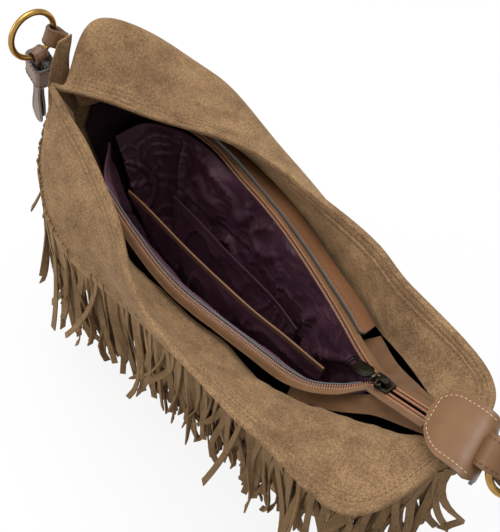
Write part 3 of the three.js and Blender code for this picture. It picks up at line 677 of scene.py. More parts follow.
# %% [markdown]
# The front wall. Its rails run from the left end to the right end of the bag, and climb from the base to
# the rim. The middle of its rim has flopped outwards. The lower panel hangs behind the fringe; the yoke
# above it ends in a folded hem at the rim, which is a little thicker and has two rows of stitches.

# %% Front wall
FRONT_RAILS = [
    millimetres([-128, 6, 3], [-116, -18, 3], [-82, -33, 3], [-28, -37, 3],
                [28, -37, 3], [82, -33, 3], [116, -18, 3], [128, 6, 3]),
    millimetres([-146, 4, 60], [-130, -26, 60], [-90, -39, 60], [-30, -42, 60],
                [28, -42, 60], [88, -40, 60], [130, -27, 60], [146, 4, 60]),
    millimetres([-158, 0, 110], [-136, -34, 110], [-98, -46, 110], [-36, -46, 110],
                [28, -45, 110], [90, -44, 110], [134, -32, 110], [160, 0, 110]),
    millimetres([-170, -8, 226], [-152, -38, 196], [-110, -55, 168], [-48, -51, 153],
                [22, -48, 150], [88, -50, 156], [140, -40, 182], [171, -8, 210]),
    millimetres([-170, -10, 236], [-143, -33, 216], [-95, -50, 193], [-42, -57, 180],
                [26, -60, 178], [90, -62, 182], [146, -60, 198], [171, -8, 220]),
    millimetres([-167, -12, 245], [-127, -23, 228], [-78, -38, 215], [-34, -57, 205],
                [30, -68, 203], [92, -71, 204], [150, -66, 209], [170, -8, 230]),
]
HALF_SEAM, SUEDE = 1.6 * MM, 1.6 * MM
SEAM_SHARE = 0.6  # how far up the wall, from 0 to 1, the fringe is sewn on


def parted(rail, way):
    """The rail moved half a seam's width to one side, and closed at its two ends."""
    share = np.ones((len(rail), 1))
    share[[0, -1]] = 0.03
    return rail + share * [0, way * HALF_SEAM, 0]


front_rails = [parted(rail, -1) for rail in FRONT_RAILS]
front_u = np.linspace(0.001, 0.999, 190)
lower_grid = slouched(lofted(front_rails, front_u, np.linspace(0, SEAM_SHARE + 0.036, 74)))
yoke_grid = slouched(lofted(front_rails, front_u, np.linspace(SEAM_SHARE - 0.022, 1, 84)))


def height_from_top(grid):
    """The real distance of each grid point from the sheet's top edge, measured over the cloth."""
    steps = np.linalg.norm(np.diff(grid, axis=0), axis=2)
    return np.concatenate([np.cumsum(steps[::-1], axis=0)[::-1], np.zeros((1, grid.shape[1]))])


HEM_WIDTH = 8 * MM
STITCH_SHARES = (0.50, 0.92)  # where a hem's two stitch rows are, as shares of its width


def hem(from_edge, width, swollen, groove=0.7 * MM):
    """How much thicker a folded hem is, with the two grooves that its stitches pull in."""
    fold = swollen * (1 - ramp(from_edge, width - 0.6 * MM, width + 0.9 * MM))
    pulled = sum(groove * np.exp(-((from_edge - width * s) / (0.9 * MM))**2) for s in STITCH_SHARES)
    return fold - pulled


yoke_hem = hem(height_from_top(yoke_grid), HEM_WIDTH, 0.8 * MM)
lower_panel = slab("front_lower_suede", lower_grid, 0, -SUEDE, suede, ["front_lower_panel"])
LAP = 4.3 * MM
above_foot = height_from_top(yoke_grid[::-1])[::-1]
lapped = LAP * (1 - ramp(above_foot, 5 * MM, 17 * MM))
yoke = slab("front_yoke_suede", yoke_grid, yoke_hem + lapped, lapped - SUEDE, suede, ["front_yoke"],
            edge=0.4 * MM)


def hem_stitches(name, grid, near, face=1):
    """Two stitch rows that follow a hem's two grooves."""
    from_edge = height_from_top(grid)
    normals = grid_normals(grid)
    outer = grid + normals * np.broadcast_to(near, grid.shape[:2])[..., None]
    for number, share in enumerate(STITCH_SHARES):
        line, lift = [], []
        for column in range(grid.shape[1]):
            at = np.interp(HEM_WIDTH * share, from_edge[::-1, column], np.arange(len(grid))[::-1])
            low = int(min(at, len(grid) - 2))
            w = at - low
            line.append(outer[low, column] * (1 - w) + outer[low + 1, column] * w)
            lift.append(normals[low, column] * face)
        stitch_row(f"{name}_{number + 1}", np.array(line), np.array(lift), tan_thread)


hem_stitches("yoke_hem_stitches", yoke_grid, yoke_hem)
lay_flat(lower_panel, lower_grid)
lay_flat(yoke, yoke_grid)

# %% [markdown]
# The back wall is one deep panel. At the left it swells up into a high soft crest, and from there its
# rim leans inwards over the mouth, so its outer face is seen from above.

# %% Back wall and base
BACK_RAILS = [
    millimetres([-128, 6, 3], [-117, 33, 3], [-82, 47, 3], [-28, 50, 3],
                [28, 50, 3], [82, 46, 3], [117, 32, 3], [128, 6, 3]),
    millimetres([-146, 4, 60], [-131, 48, 60], [-92, 66, 60], [-30, 69, 60],
                [28, 66, 60], [88, 59, 60], [129, 40, 60], [146, 4, 60]),
    millimetres([-158, 0, 120], [-154, 58, 120], [-106, 82, 120], [-38, 82, 120],
                [28, 74, 120], [90, 64, 120], [132, 44, 120], [160, 0, 120]),
    millimetres([-171, -4, 206], [-178, 40, 258], [-128, 92, 210], [-46, 89, 188],
                [26, 75, 185], [84, 62, 188], [148, 43, 197], [171, -2, 190]),
    millimetres([-167, -12, 245], [-147, 11, 232], [-104, 41, 220], [-50, 63, 213],
                [14, 66.8, 212], [74, 55.4, 215], [154, 36, 223], [170, -7, 230]),
]
back_rails = [parted(rail, 1) for rail in BACK_RAILS]
back_grid = slouched(lofted(back_rails, front_u, np.linspace(0, 1, 120)))
back_hem = -hem(height_from_top(back_grid), HEM_WIDTH, 0.8 * MM)
back_panel = slab("back_suede", back_grid, back_hem, SUEDE, suede, ["back_panel"])
hem_stitches("back_hem_stitches", back_grid, back_hem, face=-1)
lay_flat(back_panel, back_grid)

BASE_THICKNESS = 2.4 * MM
base_front = smooth_line(front_rails[0], np.linspace(0, 1, 60))
base_back = smooth_line(back_rails[0], np.linspace(0, 1, 60))
base_share = np.linspace(0.01, 0.99, 16)[:, None, None]
base_grid = base_front[None] * (1 - base_share) + base_back[None] * base_share
base_grid[..., 2] = BASE_THICKNESS / 2
base = slab("base_suede", base_grid, -BASE_THICKNESS / 2, BASE_THICKNESS / 2, suede, ["base_panel"],
            edge=0.5 * MM)
lay_flat(base, base_grid)

# %% [markdown]
# Facings are the suede bands inside the mouth. They are sewn to the rim, and end in a raw edge further
# down. The front one has flopped over with its wall: it rises from the dark of the cavity to a soft
# ridge, then falls away to the rim. The raw edge is left plain.

# %% Facings and the rolled rims
FACING = 1.2 * MM
RIM_SHIFT = 1.6 * MM


def inset_rail(rail, inward, drop):
    """A rail moved level towards the inside of the bag, and down."""
    places = np.linspace(0, 1, len(rail))
    step = 1e-4
    ahead = smooth_line(rail, places + step) - smooth_line(rail, places - step)
    side = unit(np.stack([-ahead[:, 1], ahead[:, 0], np.zeros(len(rail))], -1))
    return rail + side * inward - [0, 0, drop]


front_facing_rails = [
    millimetres([-163, -3, 216], [-134, -20, 190], [-86, -34, 172], [-38, -34, 170],
                [24, -33, 170], [70, -33, 160], [122, -12, 166], [158, -3, 201]),
    millimetres([-163, -4, 222], [-132, -20, 204], [-86, -38, 190], [-38, -46, 184],
                [26, -49, 184], [82, -34, 184], [130, -21, 205], [162, -7, 220]),
    inset_rail(FRONT_RAILS[5], RIM_SHIFT, 1.2 * MM),
]
back_facing_rails = [
    millimetres([-163, 0, 218], [-152, 34, 208], [-106, 76, 182], [-40, 72.5, 174],
                [22, 58.5, 174], [70, 41, 177], [114, 24, 196], [160, 1, 217]),
    millimetres([-165, -2, 232], [-149, 24, 220], [-106, 60, 203], [-45, 67, 195],
                [18, 61, 195], [73, 45, 199], [134, 30, 210], [164, -1, 223]),
    inset_rail(BACK_RAILS[4], -RIM_SHIFT, 1.2 * MM),
]
facing_u, facing_v = np.linspace(0.012, 0.985, 180), np.linspace(0, 1, 64)
front_facing_grid = slouched(lofted(front_facing_rails, facing_u, facing_v))
back_facing_grid = slouched(lofted(back_facing_rails, facing_u, facing_v))


def dimpled(grid, seed, depth=0.8 * MM, size=0.030):
    """Soft dents of suede that is not stretched, fading out at the sheet's top edge."""
    amount = swell(grid, size, seed) * depth + swell(grid, size / 3, seed + 7) * depth * 0.3
    return grid + grid_normals(grid) * (amount * ramp(height_from_top(grid), 0, 0.02))[..., None]


front_facing_grid = dimpled(front_facing_grid, 31)
back_facing_grid = dimpled(back_facing_grid, 37)
front_facing_hem = hem(height_from_top(front_facing_grid), HEM_WIDTH, 0.7 * MM)
back_facing_hem = hem(height_from_top(back_facing_grid), HEM_WIDTH, 0.7 * MM)
front_facing = slab("front_facing_suede", front_facing_grid, -front_facing_hem, FACING, suede,
                    ["front_facing"])
back_facing = slab("back_facing_suede", back_facing_grid, back_facing_hem, -FACING, suede,
                   ["back_facing"])
hem_stitches("front_facing_stitches", front_facing_grid, -front_facing_hem, face=-1)
hem_stitches("back_facing_stitches", back_facing_grid, back_facing_hem)
lay_flat(front_facing, front_facing_grid)
lay_flat(back_facing, back_facing_grid)


def path_frames(path, sides):
    """At each point: the way ahead, the side at right angles to it, and the way up from both."""
    ahead = unit(np.gradient(path, axis=0))
    sides = square_to(sides, ahead)
    return ahead, sides, np.cross(ahead, sides)


def tube_faces(count, around, closed=False):
    """The side faces of a tube that has 'count' sections of 'around' points each."""
    k, j = np.meshgrid(np.arange(count if closed else count - 1), np.arange(around), indexing="ij")
    a, b = k * around + j, k * around + (j + 1) % around
    c, d = (k + 1) % count * around + (j + 1) % around, (k + 1) % count * around + j
    return np.stack([a, b, c, d], -1).reshape(-1, 4)


def swept(name, path, sides, half_width, half_height, finishes, body="bag", replaces=(),
          around=12, square=1.0):
    """A closed bar along a path. Its section is a rounded oval; a low 'square' makes it boxier.

    With two finishes, the second is on the narrow sides, as paint is on the cut edge of a strap."""
    count = len(path)
    ahead, sides, lifts = path_frames(path, sides)
    angles = (np.arange(around) + 0.5) * 2 * math.pi / around
    wide = np.sign(np.cos(angles)) * np.abs(np.cos(angles)) ** square
    high = np.sign(np.sin(angles)) * np.abs(np.sin(angles)) ** square
    half_width = np.broadcast_to(half_width, (count,))
    half_height = np.broadcast_to(half_height, (count,))
    points = (path[:, None] + sides[:, None] * (wide * half_width[:, None])[..., None]
              + lifts[:, None] * (high * half_height[:, None])[..., None])
    faces = tube_faces(count, around).tolist()
    faces.append(list(range(around))[::-1])
    faces.append([(count - 1) * around + j for j in range(around)])
    piece = new_piece(name, body)
    mesh = piece.data
    mesh.from_pydata(points.reshape(-1, 3).tolist(), [], faces)
    along = distances(path)
    girth = np.arange(around) / around * float(half_width.mean() + half_height.mean()) * 4
    uv = np.stack(np.meshgrid(girth, along), -1)[..., ::-1].reshape(-1, 2)
    give_cloth_map(mesh, uv)
    on_side = np.abs(np.cos(angles + math.pi / around)) > 0.93
    narrow = [index for index in range(len(faces) - 2) if on_side[index % around]]
    give_finishes(piece, finishes, [*narrow, len(faces) - 2, len(faces) - 1])
    turn_outwards(piece)
    soften(piece, 50)
    label(replaces)
    print(f"{name}: {along[-1] * 1000:.0f} mm long")
    return piece


ROLL_HALF_WIDTH, ROLL_HALF_HEIGHT = 2.1 * MM, 1.7 * MM


def rim_roll(name, rail, outward):
    """The soft roll of suede that closes a rim over the cut edges of its wall and facing."""
    places = np.linspace(0.004, 0.996, 220)
    middle = inset_rail(rail, -outward * 0.1 * MM, 0.6 * MM)
    path = slouched(smooth_line(middle, places))
    path[:, 2] += 0.25 * MM * swell(path, 0.02, 5)
    ahead = np.gradient(path, axis=0)
    sides = unit(np.stack([-ahead[:, 1], ahead[:, 0], 0 * ahead[:, 0]], -1))
    swept(name, path, sides, ROLL_HALF_WIDTH, ROLL_HALF_HEIGHT, suede, around=14)


rim_roll("front_rim_roll", FRONT_RAILS[5], 1)
rim_roll("back_rim_roll", BACK_RAILS[4], -1)

# %% [markdown]
# The lining is satin, cut larger than the suede so that it never pulls. It hangs in slack folds, with
# sharp creases where it was folded, and is held flat only along its seams. The outer compartments'
# linings lie against the walls; the two dividers between them make the zipped centre compartment.

# %% Linings and dividers
LINING = 0.8 * MM
DIVIDER = 1.6 * MM


def crumpled(grid, seed, depth=1.6 * MM, hold=0.010):
    """Slack satin: slow folds and sharp creases, fading out where a seam holds the top edge."""
    stretched = grid * [1.0, 1.0, 0.55]
    slow = swell(stretched, 0.050, seed) * 0.8
    sharp = creases(stretched, 0.040, seed + 3) ** 2 * 1.5 + creases(grid, 0.018, seed + 9) ** 2 * 0.5
    amount = (slow + sharp - 0.5) * depth
    return grid + grid_normals(grid) * (amount * ramp(height_from_top(grid), 0, hold))[..., None]


lining_u = np.linspace(0.02, 0.96, 110)
LINING_START = 4.2 * MM
front_lining_grid = slouched(lofted(front_rails, lining_u, np.linspace(0.03, 0.60, 44)))
# The outer linings take the darker satin, which is painted shade deep in the compartments.
front_lining = slab("front_satin", front_lining_grid, -LINING_START, -LINING_START - LINING, satin_painted_shade,
                    ["front_lining"], edge=0)
back_lining_grid = slouched(lofted(back_rails, lining_u, np.linspace(0.03, 0.68, 48)))
back_lining = slab("back_satin", back_lining_grid, LINING_START, LINING_START + LINING, satin_painted_shade,
                   ["back_lining"], edge=0)
FRONT_DIVIDER_RAILS = [
    millimetres([-118, 20, 34], [-98, 9, 33], [-62, 5, 32], [-22, 5, 32],
                [26, 5, 32], [66, 7, 33], [88, 12, 36]),
    millimetres([-142, 14, 120], [-120, -2, 118], [-74, -7, 116], [-26, -7, 115],
                [32, -7, 115], [78, -4, 120], [104, 3, 132]),
    millimetres([-154, 14, 182], [-124, -12, 181], [-76, -24, 181], [-27, -27, 180],
                [35, -25, 180], [84, -17, 181], [107, -2, 186]),
]
BACK_DIVIDER_RAILS = [
    millimetres([-118, 23, 34], [-98, 27, 33], [-62, 29, 32], [-22, 29, 32],
                [26, 26, 32], [66, 21, 33], [88, 15, 36]),
    millimetres([-142, 18, 120], [-126, 42, 118], [-74, 47, 116], [-26, 43, 115],
                [32, 33, 115], [78, 17, 120], [104, 6, 132]),
    millimetres([-154, 18, 182], [-146, 46, 182], [-106, 60, 181], [-50, 55, 180],
                [18, 41, 180], [70, 24, 182], [107, 3, 186]),
]
divider_u, divider_v = np.linspace(0.01, 0.985, 190), np.linspace(0, 1, 110)
front_divider_smooth = slouched(lofted(FRONT_DIVIDER_RAILS, divider_u, divider_v))
back_divider_smooth = slouched(lofted(BACK_DIVIDER_RAILS, divider_u, divider_v))
front_divider_grid = crumpled(front_divider_smooth, 51, 1.4 * MM)
back_divider_grid = crumpled(back_divider_smooth, 61, 3.2 * MM)


def seam_ridge(grid, share, side, width=2.6 * MM, height=1.1 * MM):
    """A sewn seam across a sheet: a raised fold, with a furrow under it."""
    up = cloth_lengths(grid)[1]
    from_seam = (up - up[int(share * (len(grid) - 1))])[:, None, None]
    ridge = np.exp(-(from_seam / width) ** 2)
    furrow = np.exp(-((from_seam + 2 * width) / width) ** 2)
    shape = (ridge - furrow) * height
    return grid + grid_normals(grid) * shape * side


BACK_SEAM_SHARE = 0.60
back_divider_grid = seam_ridge(back_divider_grid, BACK_SEAM_SHARE, 1)
front_divider = slab("front_divider_satin", front_divider_grid, 0, -DIVIDER, satin,
                     ["centre_front_divider"], edge=0.4 * MM)
back_divider = slab("back_divider_satin", back_divider_grid, 0, DIVIDER, satin,
                    ["centre_back_divider"], edge=0.4 * MM)
line, lift = row_on(back_divider_grid, BACK_SEAM_SHARE, DIVIDER)
stitch_row("back_divider_seam_stitches", line, lift, plum_thread, width=FINE)
line, lift = row_on(front_divider_grid, 0.955, -DIVIDER)
stitch_row("front_divider_top_stitches", line, -lift, plum_thread, width=FINE)
for piece, grid in ((front_lining, front_lining_grid), (back_lining, back_lining_grid),
                    (front_divider, front_divider_smooth), (back_divider, back_divider_smooth)):
    lay_flat(piece, grid)

# %% [markdown]
# The foot of the centre compartment, and its two pockets. The slip pocket on the front divider has a
# narrow leather binding along its mouth. The patch pocket on the back divider has a plain folded hem.

# %% Foot and pockets
foot_path = smooth_line(millimetres([-100, 17, 28], [-22, 15, 28], [26, 14, 28], [72, 14, 28]),
                        np.linspace(0, 1, 60))
foot_grid = foot_path[None] + np.linspace(-8, 8, 12)[:, None, None] * np.array([0, MM, 0])
# The foot takes the darker satin, which is painted shade at the bottom of the compartment.
foot = slab("centre_foot_satin", foot_grid, 0, -DIVIDER, satin_painted_shade, ["centre_bottom"])
lay_flat(foot, foot_grid)
SLIP_TOP = millimetres([-120, 2, 158], [-90, 1, 158], [-43, 0, 158], [10, -2, 158], [43, 0, 158],
                       [71, 1, 160])
SLIP_FOOT = millimetres([-98, 8, 80], [-80, 6, 76], [-40, 3, 70], [8, 3, 70], [38, 3, 70], [62, 5, 72])
slip_u = np.linspace(0, 1, 130)
slip_smooth = slouched(lofted([SLIP_FOOT, SLIP_TOP], slip_u, np.linspace(0, 0.985, 50)))
slip_grid = crumpled(slip_smooth, 71, 1.5 * MM)
slip_pocket = slab("slip_pocket_satin", slip_grid, 0, LINING, satin, ["slip_pocket"],
                   edge=0.2 * MM)
lay_flat(slip_pocket, slip_smooth)
binding_path = slouched(smooth_line(SLIP_TOP, slip_u)) + [0, 0, 1.4 * MM]
ALONG_Y = np.array([[0.0, 1.0, 0.0]])
swept("slip_pocket_leather", binding_path, np.repeat(ALONG_Y, len(slip_u), 0), 0.9 * MM, 2.0 * MM,
      leather, replaces=["slip_pocket_binding"], square=0.7)
line = binding_path + [0, -1.25 * MM, -0.6 * MM]
stitch_row("slip_binding_stitches", line, np.repeat(-ALONG_Y, len(line), 0), brown_thread,
           width=FINE, length=1.8 * MM)
PATCH_TOP = millimetres([-118, 37, 126], [-70, 39.5, 120], [-20, 36, 118], [24, 28, 118])
PATCH_FOOT = millimetres([-108, 25, 56], [-66, 27, 54], [-20, 26.5, 54], [20, 23, 54])
patch_smooth = slouched(lofted([PATCH_FOOT, PATCH_TOP], np.linspace(0, 1, 110), np.linspace(0, 1, 50)))
patch_grid = crumpled(patch_smooth, 81, 0.9 * MM)
patch_hem = hem(height_from_top(patch_grid), 7 * MM, 0.5 * MM, 0.2 * MM)
patch_pocket = slab("patch_pocket_satin", patch_grid, patch_hem, -LINING, satin, ["back_patch_pocket"],
                    edge=0.2 * MM)
line, lift = row_on(patch_grid, 0.90, 0.6 * MM)
stitch_row("patch_pocket_stitches", line, lift, plum_thread, width=FINE)
lay_flat(patch_pocket, patch_smooth)

# %% [markdown]
# The zip. Both coils run along the open mouth and then side by side to the right end. Each tooth of the
# coil shows as two little loops, so two rows of beads are laid on a core, and the two halves are half a
# pitch out of step where they close. The slider's post needs the slot between them, so it stays free.

# %% Zip coils and tapes
CHAIN_START, CHAIN_END = millimetres([106, 2, 197], [150.1, -4.9, 225.5])
CHAIN_LENGTH = float(np.linalg.norm(CHAIN_END - CHAIN_START))
chain_ahead = (CHAIN_END - CHAIN_START) / CHAIN_LENGTH
chain_side = unit(np.cross([0, 0, 1], chain_ahead))
chain_up = np.cross(chain_ahead, chain_side)
COIL_WIDTH, COIL_SLOT = 2.6 * MM, 1.4 * MM
COIL_PITCH = 1.5 * MM
LOOP_SIZE = (1.9 * MM, 1.0 * MM, 1.9 * MM)


def along_chain(distance, sideways=0.0, lift=0.0):
    return CHAIN_START + chain_ahead * distance + chain_side * sideways + chain_up * lift


def coil_path(open_points, direction, count=320):
    closed = [along_chain(CHAIN_LENGTH * share, direction * (COIL_WIDTH + COIL_SLOT) / 2)
              for share in (0, 0.08, 0.35, 0.68, 1)]
    return smooth_line(np.concatenate([open_points, closed]), np.linspace(0, 1, count))


front_coil = slouched(coil_path(millimetres([-116, -19, 188], [-75, -26, 186], [-27, -30, 184],
                                            [35, -28, 184], [72, -23, 184.5], [92, -12, 189]), -1))
back_coil = slouched(coil_path(millimetres([-124, 58, 188], [-92, 60, 187], [-60, 54, 186],
                                           [16, 37, 186], [66, 20, 187], [92, 10, 191]), 1))


def zip_half(side, path, direction):
    ahead = unit(np.gradient(path, axis=0))
    out = square_to(np.repeat(chain_side[None] * direction, len(path), 0), ahead)
    up = np.cross(ahead, out) * direction
    up = up * np.sign(up[:, 2:])
    # The core bar takes the dark coil finish, which is painted shade between the loops.
    swept(f"zip_core_{side}", path - up * 0.35 * MM, out, 1.15 * MM, 0.45 * MM, coil_core_painted_shade,
          replaces=[f"zip_teeth_{side}"], around=8)
    places = even_places(path, COIL_PITCH, 0.25 if direction > 0 else 0.75)
    centres, ways = at_places(path, places), unit(at_places(ahead, places))
    outs, ups = unit(at_places(out, places)), unit(at_places(up, places))
    for row, reach in (("outer", 1.95), ("inner", -0.25)):
        beads(f"zip_{row}_loops_{side}", centres + outs * reach * MM, outs, ways, ups, LOOP_SIZE, coil)
    inner, width = COIL_WIDTH / 2 + 0.1 * MM, 4.7 * MM
    reach = (inner + width * np.linspace(0, 1, 7))[:, None, None]
    keep = int(len(path) * 0.985)
    tape_grid = path[None, :keep] + out[None, :keep] * reach
    tape_grid = tape_grid - up[None, :keep] * (0.1 * MM + 0.25 * MM * swell(tape_grid, 0.02, 3))[..., None]
    if direction < 0:
        free = 1 - ramp(path[None, :keep, :1], 0.055, 0.080)
        tape_grid = tape_grid - ramp(reach, inner + 0.3 * width, inner + width) * free * [0, 0, 3.2 * MM]
    slab(f"zip_twill_{side}", tape_grid, -0.35 * MM, 0.35 * MM, twill, [f"zip_tape_{side}"],
         edge=0.1 * MM)


zip_half("front", front_coil, -1)
zip_half("back", back_coil, 1)

# %% [markdown]
# The gussets are the folded twill cloth that closes the space beside the zip's closed end. Each hangs
# from its tape, slackly, with a few soft folds that run along it.

# %% Gussets
def gusset(name, rails, seed, node):
    smooth = lofted(rails, np.linspace(0, 1, 90), np.linspace(0, 1, 36))
    folds = swell(smooth * [0.5, 1.5, 1.0], 0.016, seed) * 1.0 * MM
    inside = np.sin(np.linspace(0, math.pi, 36))[:, None]
    grid = smooth + grid_normals(smooth) * (folds * inside)[..., None]
    piece = slab(name, grid, 0, -LINING, twill, [node], edge=0.15 * MM)
    lay_flat(piece, smooth)


gusset("gusset_back_twill", [
    millimetres([78, 25, 179.5], [98, 15, 187], [118, 8.8, 200.5], [138, 4.6, 213.5], [152, 1.6, 221.5]),
    millimetres([80, 28, 178.5], [101, 19, 184], [122, 12.4, 199], [141, 7.4, 212], [153, 3.6, 221.5]),
    millimetres([84, 36, 179], [105, 25, 187], [127, 16, 202], [143, 10, 213], [155, 5, 223]),
], 91, "gusset_back")
gusset("gusset_front_twill", [
    millimetres([70, -33, 171], [97, -21, 177], [118, -12, 191], [137, -11, 206], [149, -11, 216]),
    millimetres([69, -29, 174], [96, -17, 180], [116, -7.5, 194], [136, -7.5, 208], [148, -9, 217]),
    millimetres([68, -26, 179.5], [94, -12, 184], [114, -3.6, 198], [135, -5.6, 212], [147, -7, 219]),
], 93, "gusset_front")

# %% [markdown]
# A smooth leather strip is sewn along the top of the back divider, with a thick painted edge towards the
# zip and one rounded corner at its end. The front divider has only a thin painted trim.

# %% Leather strip and trim
STRIP = 1.8 * MM
STRIP_INNER = millimetres([-114, 65, 190.2], [-75, 62, 189.4], [-36, 54, 188], [16, 42.5, 188],
                          [60, 28, 188.6], [80, 20.5, 190.5])
STRIP_OUTER = millimetres([-110, 73, 181], [-72, 74, 180], [-32, 68, 179], [20, 55.4, 179.5],
                          [60, 41.6, 182], [79, 34, 184.5])
strip_u = 1 - (1 - np.linspace(0, 1, 170)) ** 1.35
inner_line, outer_line = smooth_line(STRIP_INNER, strip_u), smooth_line(STRIP_OUTER, strip_u)
from_end = np.linalg.norm(inner_line - inner_line[-1], axis=1)
CORNER = 6 * MM
cut = CORNER - np.sqrt(np.maximum(CORNER ** 2 - np.maximum(CORNER - from_end, 0) ** 2, 0))
cut = cut / np.linalg.norm(outer_line - inner_line, axis=1)
share = cut[None] + (1 - cut[None]) * np.linspace(0, 1, 16)[:, None]
strip_grid = slouched(inner_line[None] * (1 - share[..., None]) + outer_line[None] * share[..., None])
crown = 0.5 * MM * np.sin(np.linspace(0, math.pi, 16))[:, None]
slab("back_strip_leather", strip_grid, 0, STRIP + crown, [strip_leather, slate_paint],
     ["back_leather_strip"], edge=0.35 * MM)
strip_normals = grid_normals(strip_grid)
stitch_row("back_strip_stitches", strip_grid[2] + strip_normals[2] * (STRIP + 0.2 * MM), strip_normals[2],
           brown_thread, width=FINE)
stitch_row("back_strip_end_stitches", strip_grid[2:, -4] + strip_normals[2:, -4] * (STRIP + 0.2 * MM),
           strip_normals[2:, -4], brown_thread, width=FINE)
trim_keep = int(len(front_coil) * 0.56)
trim_path = front_coil[:trim_keep] + [0, COIL_WIDTH / 2 + 0.6 * MM, -0.7 * MM]
swept("front_trim_paint", trim_path, np.repeat(ALONG_Y, trim_keep, 0), 0.7 * MM, 1.5 * MM, slate_paint,
      replaces=["front_leather_trim"], square=0.7)

# %% [markdown]
# The left end of the bag runs up into a suede arm, which holds the left ring. The right end is closed by a
# round tab of smooth leather. It is folded over the top, sewn with cream thread and painted on its edge.

# %% Left arm and right tab
ARM = 2 * MM
arm_line = smooth_line(millimetres([-176.4, -3, 218], [-177.4, 0, 232], [-177.8, 4, 246], [-177.8, 9, 256],
                                   [-177.8, 12, 262]), np.linspace(0, 1, 40))
arm_taper = (1 - 0.45 * np.linspace(0, 1, 40))[None, :, None]
arm_grid = arm_line[None] + np.linspace(-10, 10, 20)[:, None, None] * MM * arm_taper * ALONG_Y[None]
arm_out = grid_normals(arm_grid)
arm_rim = np.abs(np.linspace(-1, 1, 20))[:, None] ** 4 * 0.5 * MM
slab("left_arm_suede", arm_grid, ARM / 2 - arm_rim, -ARM / 2 + arm_rim, suede, ["left_end_arm"],
     edge=0.5 * MM)
for edge_row in (2, -3):
    for face in (1, -1):
        stitch_row("left_arm_stitches", arm_grid[edge_row] + arm_out[edge_row] * face * (ARM / 2),
                   arm_out[edge_row] * face, tan_thread)
TAB = 2 * MM
TAB_FOLD = millimetres([144.7, -3.4, 228.5], [152, -4, 231.6], [160, -5, 235], [168, -5.5, 238.4],
                       [173.5, -6, 239.6], [177.5, -6, 237.4], [179.5, -6, 230], [180, -6, 213])
TAB_ACROSS = unit(np.array([-0.2, 0.97, 0.1]))
TAB_HALF = 19 * MM
tab_v = np.concatenate([0.3 * np.linspace(0, 1, 40) ** 2, np.linspace(0.3, 1, 60)[1:]])
tab_line = smooth_line(TAB_FOLD, tab_v)
narrowing = 1 - 0.58 * ramp(tab_v, 0.62, 1)
tab_half = TAB_HALF * narrowing * np.sqrt(np.maximum(1 - (1 - np.minimum(tab_v / 0.3, 1)) ** 2, 0.0016))
tab_across = np.linspace(-1, 1, 41)
tab_grid = tab_line[None] - (tab_across[:, None] * tab_half[None])[..., None] * TAB_ACROSS
tab_out = unit(np.cross(np.gradient(tab_line, axis=0), TAB_ACROSS))
tab_out = tab_out * np.where(tab_out[:, 2:] + tab_out[:, :1] > 0, 1, -1)
tab_normals = np.repeat(tab_out[None], len(tab_across), 0)
tab_edge = np.abs(tab_across[:, None])
pillow = (1 - ramp(tab_edge, 0.55, 1.0)) * ramp(tab_v[None], 0.03, 0.2) * 1.1 * MM
slab("right_tab_leather", tab_grid, 0, TAB + pillow, [leather, brown_paint], ["end_tab"],
     edge=0.5 * MM, normals=tab_normals)
INSET = 2.8 * MM
inset_half = np.sqrt(np.maximum(tab_half ** 2 - 2 * INSET * tab_half + 0.2 * INSET ** 2, 0))
started = (np.linalg.norm(tab_line - tab_line[0], axis=1) > INSET) & (tab_v < 0.66)
front_edge = (tab_line - inset_half[:, None] * TAB_ACROSS)[started]
back_edge = (tab_line + inset_half[:, None] * TAB_ACROSS)[started]
tab_round = np.concatenate([front_edge[::-1], back_edge])
round_out = np.concatenate([tab_out[started][::-1], tab_out[started]])
stitch_row("right_tab_stitches", tab_round + round_out * (TAB + 0.3 * MM), round_out, cream_thread,
           pitch=2.7 * MM, length=1.9 * MM, width=0.6 * MM)

# %% [markdown]
# The two rings are bent from round wire and closed; each turns freely in its leather loop.

# %% Rings
RING_OUTER, RING_WIRE = 36 * MM, 4 * MM
RING_RADIUS = (RING_OUTER - RING_WIRE) / 2


def ring(name, centre, normal, level, body):
    first = unit(level - normal * np.dot(level, normal))
    second = np.cross(normal, first)
    bpy.ops.object.select_all(action="DESELECT")
    bpy.ops.mesh.primitive_torus_add(major_segments=96, minor_segments=20, major_radius=RING_RADIUS,
                                     minor_radius=RING_WIRE / 2)
    piece = bpy.context.active_object
    piece.name = piece.data.name = f"{name}_gold"
    matrix = Matrix((first, second, normal)).transposed().to_4x4()
    matrix.translation = centre
    piece.matrix_world = matrix
    bpy.ops.object.transform_apply(location=True, rotation=True, scale=True)
    bpy.ops.object.shade_smooth()
    give_finishes(piece, gold)
    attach(piece, body)
    label([name])

    def at(angle):
        return centre + (first * math.cos(angle) + second * math.sin(angle)) * RING_RADIUS

    def tangent(angle):
        return second * math.cos(angle) - first * math.sin(angle)

    return at, tangent


right_ring = ring("right_ring", np.array([194, 0.4, 236.4]) * MM, unit(np.array([0.764, -0.204, 0.612])),
                  np.array([0.26, 0.97, 0]), "right_ring")
left_ring = ring("left_ring", np.array([-188, -4.5, 268]) * MM, np.array([1.0, 0, 0]), np.array([0, 1.0, 0]),
                 "left_ring")

# %% [markdown]
# Leather bands fold round the wires. Each band has two legs, which leave the wire, close on each other and
# may twist. The strap's right end is such a band round the strap; its left end has two long tails.

# %% Leather bands
TOUCH, LOOP = 0.3 * MM, 1.8 * MM  # the gap between two bands, and how thick a band is


def turn_about(vector, axis, angle):
    """The vector turned about an axis at right angles to it."""
    return vector * math.cos(angle) + np.cross(axis, vector) * math.sin(angle)


